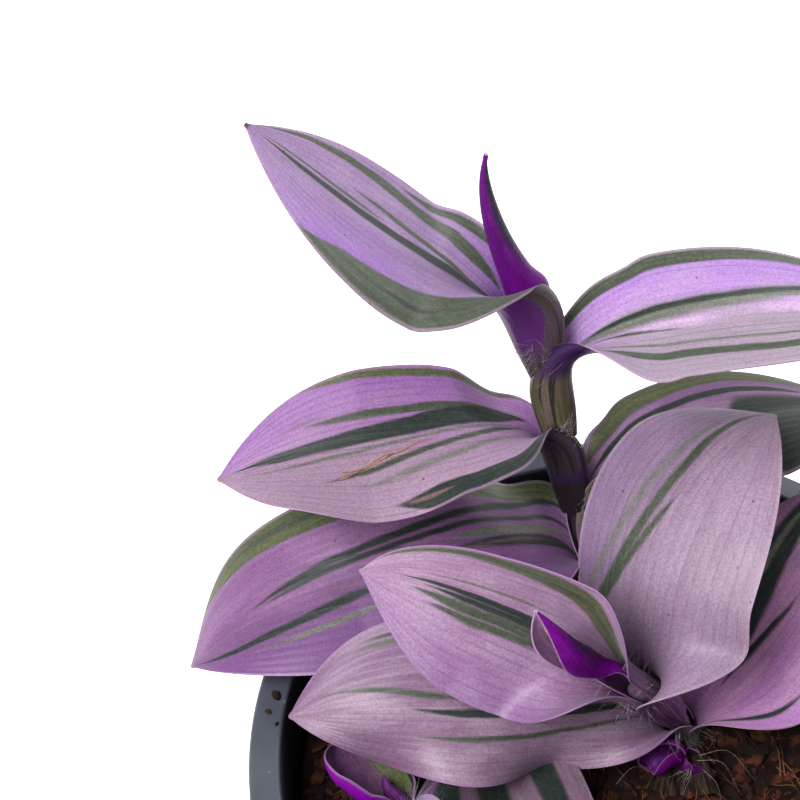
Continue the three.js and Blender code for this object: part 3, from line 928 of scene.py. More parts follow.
@dataclass
class Soil:
    """Peat bed with loose chips and fibres, and a few crumbs on the pot's rim.

    Reaches are distances from the axis, and marks are the place and size of the crumbs that
    the photo shows.
    """

    finish: PeatFinish = PeatFinish()
    chips: int = 4200
    chip_reach: float = 51.5
    chip_sizes: tuple[float, ...] = (0.3, 0.4, 0.5, 0.6, 0.8, 1.1)
    fibres: int = 620
    fibre_reach: float = 48.0
    fibre_limit: float = 51.0
    crumbs: int = 46
    marks: tuple[Point, ...] = (
        (-57.3, 6.4, 0.5), (-56.2, 9.2, 0.8), (-55.9, 4.3, 0.35), (-56.8, -12.0, 0.3),
        (-51.0, 26.5, 0.3), (-38.0, 43.0, 0.4), (12.0, 56.2, 0.35), (40.0, -41.0, 0.5))
    seed: int = 11

    def level(self, x: float, y: float) -> float:
        """Height of the bed's top at a place: slow swells and small lumps."""
        swell = 0.7 * math.sin(0.21 * x + 1) * math.cos(0.17 * y) + 0.3 * math.sin(0.4 * y)
        lumps = noise.fractal(Vector((x * 0.35, y * 0.35, 2.0)), 0.9, 2.0, 3) * 0.9
        return SOIL_LEVEL + swell + lumps

    def build(self) -> list[Piece]:
        """Model and dress the soil.

        Returns:
            The bed, chips, fibres and rim crumbs.
        """
        dice = Dice(self.seed)
        bed = self.bed()
        pieces = [bed]
        for heap, name, dark, light in ((self.scatter, "peat_chip", "160805", "5a2c1b"),
                                        (self.strands, "peat_fibre", "3a1c11", "8a5a3c"),
                                        (self.rim_crumbs, "rim_crumb", "15100f", "3a2a20")):
            piece = heap(dice)
            piece.data.materials.append(self.finish.crumbs(name, dark, light))
            pieces.append(piece)
        for piece in pieces:
            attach(piece, "root")
        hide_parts("soil")
        return pieces

    def bed(self) -> Piece:
        """The bed itself, with an uneven top."""
        wall = WALL_TOP - WALL - 0.3
        foot = FOOT_RADIUS - WALL
        rings = [(wall - 0.4 - k, SOIL_LEVEL) for k in np.arange(0.6, wall - 1.4, 0.8)]
        profile = [(0, FLOOR_TOP + 0.3), (foot - 2.4, FLOOR_TOP + 0.3),
                   (foot - 0.3, FLOOR_TOP + 2.2), (wall - 0.3, SOIL_LEVEL - 3),
                   (wall - 0.4, SOIL_LEVEL - 1.1), *rings, (0, SOIL_LEVEL)]
        bed = turned_solid("peat_bed", profile, 180)
        points = mesh_points(bed) / MM
        for point in points:
            if point[2] > SOIL_LEVEL - 0.5:
                point[2] = self.level(point[0], point[1])
        place_points(bed, points)
        bed.data.materials.append(self.finish.bed())
        shade(bed, 60)
        return bed

    def spot(self, dice: Dice, reach: float) -> Pair:
        """A random place on the bed."""
        radius = reach * math.sqrt(dice.random())
        angle = dice.uniform(0, TURN)
        return radius * math.cos(angle), radius * math.sin(angle)

    def scatter(self, dice: Dice) -> Piece:
        """Loose flat chips on the bed."""
        pattern, base = chip_pattern()
        places = []
        for _ in range(self.chips):
            x, y = self.spot(dice, self.chip_reach)
            size = dice.choice(self.chip_sizes) * dice.uniform(0.8, 1.25)
            shape = np.array([size * dice.uniform(0.8, 1.9), size, size * dice.uniform(0.35, 0.7)])
            ruffle = np.array([dice.uniform(-1, 1) for _ in base])[:, None]
            lump = tumbled(base * shape * (1 + 0.25 * ruffle), dice, 0.5)
            places.append(lump + [x, y, self.level(x, y) + size * 0.3])
        return copies("peat_chips", pattern, places)

    def strands(self, dice: Dice) -> Piece:
        """Thin curved fibres that lie on the bed."""
        pattern, base = strand_pattern(6)
        run = base[:, 2]
        places = []
        for _ in range(self.fibres):
            x, y = self.spot(dice, self.fibre_reach)
            angle = dice.uniform(0, TURN)
            length = dice.uniform(2.5, 11.0)
            bow = dice.uniform(-0.35, 0.35)
            width = dice.uniform(0.06, 0.16)
            ahead = np.array([math.cos(angle), math.sin(angle), 0])
            aside = np.array([-math.sin(angle), math.cos(angle), 0])
            line = np.outer(run * length, ahead) + np.outer(bow * length * run * run, aside)
            skin = np.outer(base[:, 0] * width, aside) + np.outer(base[:, 1] * width, [0, 0, 1])
            rise = dice.uniform(0.2, 1.2) * np.sin(np.pi * run) + 0.5
            spots = line + skin + [x, y, 0]
            away = np.maximum(np.hypot(spots[:, 0], spots[:, 1]), 1e-6)
            spots[:, :2] *= np.minimum(1, self.fibre_limit / away)[:, None]
            spots[:, 2] += np.array([self.level(p[0], p[1]) for p in spots]) + rise
            places.append(spots)
        return copies("peat_fibres", pattern, places)

    def rim_crumbs(self, dice: Dice) -> Piece:
        """Small crumbs of soil on the flat top of the lip."""
        pattern, base = chip_pattern()
        places = []
        for x, y, size in self.marks:
            shape = np.array([size * 1.3, size, size * 0.6])
            places.append(tumbled(base * shape, dice, 0.3) + [x, y, POT_HEIGHT + size * 0.3])
        for _ in range(self.crumbs):
            angle = dice.uniform(0, TURN)
            radius = dice.uniform(LIP_INNER + 0.8, RIM_RADIUS - 1.2)
            size = dice.uniform(0.08, 0.22)
            spot = [radius * math.cos(angle), radius * math.sin(angle), POT_HEIGHT + size * 0.3]
            places.append(tumbled(base * size, dice, 0.6) + spot)
        return copies("rim_crumbs", pattern, places)


def chip_pattern() -> tuple[Piece, np.ndarray]:
    """A small uneven lump of unit size to copy, and its points."""
    deselect()
    bpy.ops.mesh.primitive_ico_sphere_add(subdivisions=1, radius=1.0)
    lump = bpy.context.object
    with editing():
        bpy.ops.transform.vertex_random(offset=0.18, seed=4)
    return lump, mesh_points(lump)


def strand_pattern(parts: int) -> tuple[Piece, np.ndarray]:
    """A thin three-sided strand of unit length that tapers to its tip.

    Args:
        parts: lengths between its root and its tip.

    Returns:
        The object to copy and its points.
    """
    deselect()
    bpy.ops.mesh.primitive_circle_add(vertices=3, radius=1.0, fill_type="NGON")
    strand = bpy.context.object
    with editing():
        for k in range(parts):
            bpy.ops.mesh.extrude_region_move(TRANSFORM_OT_translate={"value": (0, 0, 1 / parts)})
            narrower = (1 - (k + 1) / parts * 0.75) / (1 - k / parts * 0.75)
            bpy.ops.transform.resize(value=(narrower, narrower, 1))
        bpy.ops.mesh.select_all(action="SELECT")
        bpy.ops.mesh.normals_make_consistent(inside=False)
    return strand, mesh_points(strand)


def tumbled(points: np.ndarray, dice: Dice, tilt: float) -> np.ndarray:
    """Points turned at random: any way about Z and by up to a tilt about a flat axis."""
    spin, lean = dice.uniform(0, TURN), dice.uniform(0, TURN)
    tip = dice.uniform(-tilt, tilt)
    c, s = math.cos(spin), math.sin(spin)
    flat = points @ np.array([[c, s, 0], [-s, c, 0], [0, 0, 1]])
    axis = np.array([math.cos(lean), math.sin(lean), 0])
    level = np.outer(flat @ axis, axis) * (1 - math.cos(tip))
    return flat * math.cos(tip) + np.cross(axis, flat) * math.sin(tip) + level


@dataclass
class Shoot:
    """One stem: the points of its centre line and how much of it is solid stem."""

    letter: str
    line: list[Point]
    end: float
    finish: StemFinish = StemFinish()
    sides: int = 20

    def curve(self) -> Line:
        """The centre line."""
        return Line.through(self.line)

    def radius(self, run: float, joints: Sequence[float]) -> float:
        """The stem's radius, a little thicker at each joint."""
        swell = sum(math.exp(-((run - joint) / 1.3) ** 2) for joint in joints)
        return STEM_RADIUS + JOINT_SWELL * min(swell, 1.0)

    def build(self, joints: Sequence[float]) -> Piece:
        """Model and dress the stem.

        Args:
            joints: where leaves leave it, in millimetres from its foot.

        Returns:
            The stem.
        """
        rings = max(24, int(self.end * 1.2))
        curve = self.curve()
        deselect()
        bpy.ops.mesh.primitive_cylinder_add(vertices=self.sides, radius=1.0, depth=2.0,
                                            end_fill_type="NGON")
        stem = named(f"shoot_{self.letter}_stem")
        with editing():
            for k in range(1, rings):
                bpy.ops.mesh.select_all(action="SELECT")
                bpy.ops.mesh.bisect(plane_co=(0, 0, -1 + 2 * k / rings), plane_no=(0, 0, 1))
        points = mesh_points(stem)
        heights = np.round((points[:, 2] + 1) / 2 * rings).astype(int)
        normal = np.array([1.0, 0.0, 0.0])
        placed = np.zeros_like(points)
        for ring in range(rings + 1):
            run = self.end * ring / rings
            heading = curve.heading(run)[0]
            normal = unit(normal - heading * (normal @ heading))
            here = heights == ring
            radius = self.radius(run, joints) * (0.75 if ring == rings else 1.0)
            placed[here] = (curve.point(run)[0] + np.outer(points[here, 0] * radius, normal)
                            + np.outer(points[here, 1] * radius, np.cross(heading, normal)))
        place_points(stem, placed)
        stem.data.materials.append(self.finish.material(f"stem_{self.letter}"))
        shade(stem, 50)
        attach(stem, "root")
        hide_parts(f"stem_{self.letter}")
        return stem


@dataclass
class Leaf:
    """One leaf: a sheath round the stem that opens into a striped blade.

    It follows the solids' rule: where the sheath starts on the stem and its length, the
    point that the midrib bends round, the tip, the half width, how the blade is shaped,
    folded, curled, rolled and waved, how the sheath widens and clasps the stem at its mouth
    and how far a margin sags there. Pairs are for the two halves of the blade.
    The foot is the length of sheath below its node, inside the sheath below, hug the share
    of the sheath that widens from the stem, and ease how softly the blade leaves the sheath.
    An extra leaf is one that stands for no solid. The tuft is where hairs grow, in rows from
    the mouth: the lowest, the highest and the densest. The shag gives their columns in from
    a margin in the same way, and down is the share of the usual number of hairs.
    """

    name: str
    stem: str
    at: float
    sheath: float
    reach: Point
    tip: Point
    width: float
    fold: float
    curl: Pair
    roll: Point = (0.0, 0.0, 0.0)
    heel: Pair = (0.5, 0.5)
    belly: Pair = (0.38, 0.38)
    full: Pair = (2.3, 2.3)
    mouth: Pair = (0.12, 0.22)
    wave: tuple[float, float, float, float] = (0.0, 0.0, 1.0, 0.0)
    tube: float = SHEATH_RADIUS
    bell: float | None = None
    clasp: Pair = (SHEATH_MOUTH, SHEATH_MOUTH)
    sag: Pair = (0.0, 0.0)
    lift: float = 2.0
    skew: float = 0.0
    young: bool = False
    rows: int = 80
    columns: int = 36
    sheath_rows: int = 14
    foot: float = 2.0
    hug: float = 0.3
    ease: int = 14
    extra: bool = False
    tuft: tuple[int, int, int] = (-5, 3, 1)
    shag: tuple[int, int, int] = (0, 14, 2)
    down: float = 1.0
    thickness: float = 0.5

    def outline(self, along: float, side: int) -> float:
        """Share of the half width at a place along the blade."""
        heel, belly, full = self.heel[side], self.belly[side], self.full[side]
        if along < belly:
            return heel + (1 - heel) * math.sin(math.pi / 2 * along / belly)
        return 1 - ((along - belly) / (1 - belly)) ** full

    def stations(self, stem: Line) -> list[tuple[float, np.ndarray, np.ndarray]]:
        """Places along the leaf from the foot of the sheath to the tip.

        Args:
            stem: the stem's centre line.

        Returns:
            Place along (-1 to 0 on the sheath, 0 to 1 on the blade), point and direction.
        """
        mouth = stem.point(self.at + self.sheath)[0]
        axis = stem.heading(self.at + self.sheath)[0]
        reach = np.array(self.reach, float)
        side = reach - mouth
        side = unit(side - axis * (side @ axis))
        start = mouth + side * (self.bell or self.tube)
        midrib = Line.arch([start, start + axis * self.lift, reach, np.array(self.tip, float)])
        found = []
        for k in range(self.sheath_rows):
            share = k / self.sheath_rows
            run = self.at - self.foot + (self.sheath + self.foot) * share
            spine = stem.point(run)[0] + side * self.sheath_radius(share)
            found.append((share - 1, spine, stem.heading(run)[0]))
        runs = np.linspace(0, midrib.length, self.rows + 1)
        for k, (point, heading) in enumerate(zip(midrib.point(runs), midrib.heading(runs))):
            found.append((k / self.rows, point, heading))
        self.inward, self.axis = -side, axis
        return found

    def sheath_radius(self, share: float) -> float:
        """Radius of the sheath at a share of its length, from close on the stem to its mouth."""
        flared = self.tube + ((self.bell or self.tube) - self.tube) * share
        return SHEATH_FOOT + (flared - SHEATH_FOOT) * float(smooth(share / self.hug))

    def grid(self, stem: Line) -> np.ndarray:
        """Points of the leaf's middle surface, row by row from foot to tip.

        Args:
            stem: the stem's centre line.

        Returns:
            An array of rows, columns and three coordinates, in millimetres.
        """
        places = np.linspace(-1, 1, self.columns + 1)
        right, sign, square = places >= 0, np.sign(places), places ** 2

        def halves(pair: Sequence[float]) -> np.ndarray:
            """The value of each column's half of the blade."""
            return np.where(right, pair[1], pair[0])

        surface, alongs = [], []
        normal = None
        for along, point, heading in self.stations(stem):
            normal = self.inward if normal is None else normal
            normal = unit(normal - heading * (normal @ heading))
            blade = max(along, 0.0)
            turn = np.interp(blade, [0, 0.08, 0.25, 0.55, 1], [0, self.roll[0] * 0.4, *self.roll])
            up = turned(normal, heading, math.radians(turn))
            wide, opened = (smooth(blade / length) for length in self.mouth)
            closed = halves([np.interp(along, [-1, 0], [SHEATH_CLOSED, clasp])
                             for clasp in self.clasp])
            radius = self.sheath_radius(min(along + 1, 1.0))
            fold = math.radians(self.fold) * opened * (1 - 0.4 * blade)
            curl = halves(self.curl) * np.interp(blade, [0, 0.45, 1], [1.2, 1, 0.6])
            bend = np.radians(closed * (1 - opened) + curl * opened)
            shares = halves([self.outline(blade, side) for side in (0, 1)])
            width = np.maximum(self.width * shares, 0.3)
            half = radius * np.radians(closed) * (1 - wide) + width * wide
            half = half * (1 + self.skew * sign * opened)
            reach = np.abs(places) * half
            curve = np.where(np.abs(bend) < 0.01, 0.01, bend) / half
            flat, high = np.sin(curve * reach) / curve, (1 - np.cos(curve * reach)) / curve
            out = flat * math.cos(fold) - high * math.sin(fold)
            swing = math.sin(TURN * self.wave[2] * blade + self.wave[3])
            ripple = halves(self.wave) * square * swing * min(1.0, 4 * (1 - blade)) * opened
            rise = flat * math.sin(fold) + high * math.cos(fold) + ripple
            near = min(blade / SAG_END, 1.0)
            drop = SAG_PEAK * halves(self.sag) * square * near * (1 - near) ** 2
            surface.append(point + np.outer(np.where(places < 0, -out, out), np.cross(heading, up))
                           + np.outer(rise, up) - np.outer(drop, self.axis))
            alongs.append(along)
        self.alongs = np.array(alongs)
        return self.softened(np.array(surface))

    def softened(self, surface: np.ndarray) -> np.ndarray:
        """The surface with the corner between sheath and blade eased out lengthwise."""
        share = (1 - smooth((self.alongs[1:-1] - 0.1) / 0.2))[:, None, None]
        for _ in range(self.ease):
            middle = (surface[:-2] + 2 * surface[1:-1] + surface[2:]) / 4
            surface[1:-1] += (middle - surface[1:-1]) * share
        return surface

    def build(self, stem: Line, finish: LeafFinish) -> Piece:
        """Model and dress the leaf.

        Args:
            stem: the stem's centre line.
            finish: colours and stripes.

        Returns:
            The leaf.
        """
        self.surface = self.grid(stem)
        rows = len(self.surface) - 1
        piece = flat_grid(f"{self.name}_blade", self.columns, rows, 2.0)
        flat = mesh_points(piece)
        column = np.round((flat[:, 0] + 1) / 2 * self.columns).astype(int)
        row = np.round((flat[:, 1] + 1) / 2 * rows).astype(int)
        place_points(piece, self.surface[row, column])
        self.lay_out(piece, column, row)
        self.thicken(piece, column)
        for material in (finish.upper(self.name), finish.lower(self.name), finish.edge(self.name)):
            piece.data.materials.append(material)
        apply_modifier(piece, "SOLIDIFY", thickness=self.thickness * MM, offset=0.0,
                       vertex_group="body", thickness_vertex_group=0.45, material_offset=1,
                       material_offset_rim=2)
        shade(piece, 80)
        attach(piece, "root")
        if not self.extra:
            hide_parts(self.name)
        return piece

    def lay_out(self, piece: Piece, column: np.ndarray, row: np.ndarray) -> None:
        """Give the UV map the place across and along the leaf.

        Args:
            piece: the leaf's sheet.
            column: each vertex's column.
            row: each vertex's row.
        """
        loops = np.zeros(len(piece.data.loops), np.int32)
        piece.data.loops.foreach_get("vertex_index", loops)
        across, along = column[loops] / self.columns, (self.alongs[row[loops]] + 1) / 2
        spots = np.stack([across, along], 1).astype(np.float32).ravel()
        piece.data.uv_layers[0].data.foreach_set("uv", spots)

    def thicken(self, piece: Piece, column: np.ndarray) -> None:
        """Mark the fleshy middle of the leaf, so that its margins come out thin."""
        group = piece.vertex_groups.new(name="body")
        inset = np.minimum(column, self.columns - column) / self.columns
        for index, share in enumerate(np.clip(inset * 7, 0, 1)):
            group.add([index], float(share), "REPLACE")


def camera() -> None:
    """The camera, above the pot's front and looking down on it."""
    deselect()
    bpy.ops.object.camera_add(location=[side * MM for side in EYE_PLACE],
                              rotation=(math.radians(EYE_TILT), 0, 0))
    eye = bpy.context.object
    eye.name = "view"
    eye.data.lens = LENS
    eye.data.sensor_width = SENSOR
    eye.data.clip_start = 0.01
    bpy.context.scene.camera = eye


@dataclass(frozen=True)
class Lamp:
    """One soft square lamp."""

    name: str
    place: Point
    size: float
    watts: float

    def build(self) -> None:
        """Hang the lamp, aimed at the plant."""
        deselect()
        spot = Vector(self.place) * MM
        bpy.ops.object.light_add(type="AREA", location=spot)
        lamp = bpy.context.object
        lamp.name = self.name
        lamp.data.size = self.size * MM
        lamp.data.energy = self.watts
        aim = Vector(LAMP_AIM) * MM - spot
        lamp.rotation_euler = aim.to_track_quat("-Z", "Y").to_euler()


LAMPS = (Lamp("key_lamp", (-420, -260, 720), 420, 8.0),
         Lamp("rear_lamp", (380, 420, 640), 500, 4.0))


def studio() -> None:
    """White floor, pale surround and soft lamps."""
    deselect()
    bpy.ops.mesh.primitive_circle_add(vertices=96, radius=FLOOR_RADIUS * MM, fill_type="NGON",
                                      location=(0, 0, -FLOOR_DROP * MM))
    floor = named("floor")
    bpy.ops.object.transform_apply(location=True, rotation=True, scale=True)
    draw = Material("floor_white", Emission_Color=(1, 1, 1, 1), Emission_Strength=FLOOR_GLOW)
    tone = draw.mix(draw.grain(draw.place(), 3.0, 2.0), "fafafa", "fdfdfd")
    floor.data.materials.append(draw.dress(tone, 0.9))
    world = bpy.data.worlds.new("surround")
    world.use_nodes = True
    sky = world.node_tree.nodes["Background"].inputs
    sky["Color"].default_value = SKY
    sky["Strength"].default_value = SKY_GLOW
    bpy.context.scene.world = world
    for lamp in LAMPS:
        lamp.build()
    bpy.context.scene.view_settings.view_transform = "Standard"


SHOOTS = [
    Shoot("a", [(2, 20, 86), (-3, 27, 105), (-9, 35, 120), (-15, 49.5, 140),
                (-18.5, 59, 153)], 75.5),
    Shoot("b", [(8, 8, 86), (7.6, 8, 96.5), (3, 6.3, 107.5), (-5, 4, 119), (-9, 4, 124)], 31.5,
          StemFinish(dark="573a52", light="735970")),
    Shoot("c", [(-28, -20, 86), (-30, -16.5, 92), (-32.3, -12.5, 96.5), (-36, -7.5, 100),
                (-38.5, -4.5, 101.5)], 19),
    Shoot("d", [(-6, -36, 86), (-6, -38, 98), (-4, -42, 112), (0, -46, 124), (2, -48, 128)], 39.5),
    Shoot("e", [(33, -12, 86), (35, -12, 100), (40, -12, 116), (46, -12, 130), (50, -12, 137)], 47),
    Shoot("f", [(32, 16, 86), (35, 16, 98), (40, 16, 108), (43, 16, 113)], 24.5),
    Shoot("g", [(10, 2, 86), (9.5, 2, 94.5), (8, 2, 98), (6, 2, 99)], 9.8),
]

SPIKE = {"belly": (0.2, 0.2), "full": (1.2, 1.2), "tube": 1.6, "young": True}
LEAVES = [
    Leaf("leaf_a1", "a", 25.5, 4.5, (-50, 24, 127.5), (-70, 16, 102.5), 15, 8, (-25, -15),
         (-45, -50, -20), heel=(0.6, 1.12), belly=(0.45, 0.6), full=(2.8, 4.4), mouth=(0.03, 0.12)),
    Leaf("leaf_a2", "a", 44, 7, (-40, 36, 139), (-65, 33, 129), 13.5, 15, (10, -5), (-50, -60, -50),
         heel=(0.52, 0.6), belly=(0.56, 0.38), full=(1.9, 2.8), mouth=(0.02, 0.12),
         wave=(-2.5, 0, 1.67, 3.447), skew=-0.08, lift=0.3, bell=3.3, clasp=(165, 122),
         sag=(4.2, 0), foot=5.5, shag=(0, 6, 1)),
    Leaf("leaf_a3", "a", 54, 8, (12, 50, 152), (46, 54, 143), 15, 12, (10, 10), (35, 35, 30),
         belly=(0.3, 0.32), skew=0.06, tube=3.0, bell=3.5, clasp=(122, 160), sag=(0, 4.5), foot=3.5,
         down=0.3),
    Leaf("leaf_a4", "a", 64, 7.5, (-38, 52, 159), (-59.2, 60.2, 177), 14.5, 10, (-40, 10),
         (-35, -40, -50), heel=(0.7, 0.7), belly=(0.4, 0.34), full=(1.7, 2.6), mouth=(0.14, 0.34),
         skew=-0.1, bell=5.0, clasp=(165, 140), sag=(5, 0), foot=3.5, tuft=(-12, -5, -9),
         shag=(9, 18, 14)),
    Leaf("leaf_a5", "a", 69, 2, (-26.6, 56, 162), (-24.8, 55.5, 175.5), 10.5, 0, (150, 150),
         belly=(0.05, 0.05), full=(0.58, 0.58), tube=2.7, young=True, down=0.2),
    Leaf("leaf_a6", "a", 34.5, 5, (16, 54, 131), (40, 50, 123), 16, 10, (-10, -10), (18, 18, 8),
         heel=(0.1, 0.15), belly=(0.3, 0.5), mouth=(0.1, 0.2), skew=0.18, foot=5.0),
    Leaf("leaf_b0", "b", 14.6, 2.6, (-30, 0, 123), (-53.8, 3.8, 108), 12.5, 0, (-5, 10),
         (-35, -35, -20), belly=(0.5, 0.6), mouth=(0.08, 0.16), skew=0.08, wave=(-5, 0, 1.9, 4.63)),
    Leaf("leaf_b1", "b", 29, 4, (-24, 9, 135), (-43, 19, 125), 15, 12, (20, 20), (-20, -20, -10),
         heel=(0.68, 0.45), belly=(0.45, 0.3), full=(2.5, 1.7), clasp=(160, 160), sag=(-4.5, 0),
         mouth=(0.12, 0.34), foot=4.5),
    Leaf("leaf_b2", "b", 22.5, 8.5, (-3, 22, 143), (20.5, 40, 136), 16.8, 0, (-15, -15),
         heel=(0.7, 0.85), belly=(0.62, 0.32), full=(3.2, 2.4), mouth=(0.02, 0.15), skew=-0.05,
         bell=3.8, clasp=(150, 165), sag=(0, 4), foot=4.0),
    Leaf("leaf_b3", "b", 10.2, 1.8, (26, 20, 121), (40, 44, 118), 14, 5, (10, 10), (10, 10, 0),
         belly=(0.38, 0.26), skew=0.08),
    Leaf("leaf_b4", "b", 36.5, 2.5, (-13, 4, 129), (-18, 4.5, 136), 6.3, 0, (135, 185),
         (-40, -40, -40), belly=(0.55, 0.42), skew=0.14, tube=1.9, foot=6.5, young=True, down=0.5),
    Leaf("bud_b", "g", 12.2, 1, (3.2, 2, 99.8), (2.0, 0.4, 97.2), 6.0, 0, (175, 175),
         belly=(0.6, 0.6), skew=0.1, tube=1.8, young=True),
    Leaf("leaf_c1", "c", 19.5, 2, (-42, -1, 102.5), (-46.5, 3.5, 101.5), 9.5, 0, (120, 70),
         (-30, -30, -20), belly=(0.5, 0.5), skew=-0.25, tube=1.7, young=True),
    Leaf("leaf_c0", "c", 20, 1, (-40, -5.5, 102.5), (-39.3, -3.6, 103.6), 3.0, 0, (120, 120),
         belly=(0.3, 0.3), full=(1.2, 1.2), tube=1.5, foot=1.0, young=True, extra=True),
    Leaf("leaf_c2", "c", 14.8, 2, (-43, -27, 124), (-56, -40, 121), 11, 8, (-10, -10)),
    Leaf("leaf_d1", "d", 12.5, 3, (-20, -15, 106), (-24, 8, 97), 15, 5, (-10, -10),
         belly=(0.45, 0.72), full=(2.6, 4), skew=-0.2),
    Leaf("leaf_d2", "d", 19, 3, (-8, -64, 124), (-10, -84, 110), 13, 10, (10, 5)),
    Leaf("leaf_d3", "d", 26, 3, (22, -46, 130), (42, -52, 120), 12.5, 10, (0, 10)),
    Leaf("leaf_d4", "d", 32.5, 4, (-20, -52, 142), (-40, -54, 136), 12.5, 15, (10, 10)),
    Leaf("leaf_d5", "d", 40, 3, (4, -52, 138), (6, -53, 150), 6.5, 0, (140, 140), **SPIKE),
    Leaf("leaf_e1", "e", 12, 3, (37, -36, 118), (38, -56, 110), 12.5, 8, (-10, -5)),
    Leaf("leaf_e2", "e", 18.5, 3, (62, -8, 124), (81, -6, 110), 13.5, 10, (-10, -5)),
    Leaf("leaf_e3", "e", 26, 4, (27, -34, 138), (18, -50, 131), 12.5, 10, (5, 5)),
    Leaf("leaf_e4", "e", 33.5, 4, (66, 4, 144), (80, 12, 136), 13, 12, (10, 5)),
    Leaf("leaf_e5", "e", 40.5, 4, (36, 4, 154), (27, 12, 152), 11, 15, (10, 15)),
    Leaf("leaf_e6", "e", 47.5, 3, (54, -14, 148), (55, -15, 158), 6.5, 0, (140, 140), **SPIKE),
    Leaf("leaf_f1", "f", 11.5, 2.5, (34, 33, 114), (33, 43, 111), 9.5, 8, (-5, -5)),
    Leaf("leaf_f2", "f", 17.5, 3, (58, 13, 127), (78, 13, 114), 12.5, 10, (5, 5)),
    Leaf("leaf_f3", "f", 25, 2.5, (46, 18, 120), (47, 20, 128), 6, 0, (140, 140), **SPIKE),
]

# Flesh, pale tone and stripes of the leaves that the photo hides
COMMON = (
    ("ab84b2", "bb9cc0", (
        Stripe(0.3, -0.05, 0.05, 0.07, point=0.04), Stripe(0.45, 0.5, 0.3, 0.05, end=0.75),
        Stripe(-0.6, -0.75, -0.5, 0.08, point=0.05), Stripe(0.9, 0.85, 0.9, 0.09, tint=Tint.OLIVE),
        Stripe(-0.1, -0.3, -0.2, 0.02, tint=Tint.GREY))),
    ("a17da2", "b196b0", (
        Stripe(-0.2, 0.1, -0.05, 0.09, tint=Tint.DARK, point=0.05), Stripe(-0.4, -0.5, -0.2, 0.04),
        Stripe(0.55, 0.7, 0.4, 0.09, point=0.04),
        Stripe(-0.85, -0.92, -0.9, 0.08, tint=Tint.OLIVE))),
    ("b193b4", "bda5bf", (
        Stripe(-0.2, 0.1, 0.0, 0.04), Stripe(0.4, 0.4, 0.2, 0.04, end=0.7),
        Stripe(-0.35, -0.55, -0.3, 0.12, tint=Tint.GREY, soft=0.05), Stripe(0.9, 0.85, 0.9, 0.12),
        Stripe(0.1, 0.2, 0.15, 0.02, tint=Tint.DARK))),
)


def rolled(stripes: tuple[Stripe, ...], under: str, under_pale: str,
           **rest: object) -> LeafFinish:
    """Finish of a rolled young leaf, whose sheath is as deep a colour as its underside.

    Args:
        stripes: its stripes.
        under: the underside's darker colour.
        under_pale: the underside's paler colour.
        rest: the other values of the finish.

    Returns:
        The finish.
    """
    return LeafFinish(stripes, under=under, under_pale=under_pale, collar=under,
                      collar_span=(-1.5, 1.5), **rest)


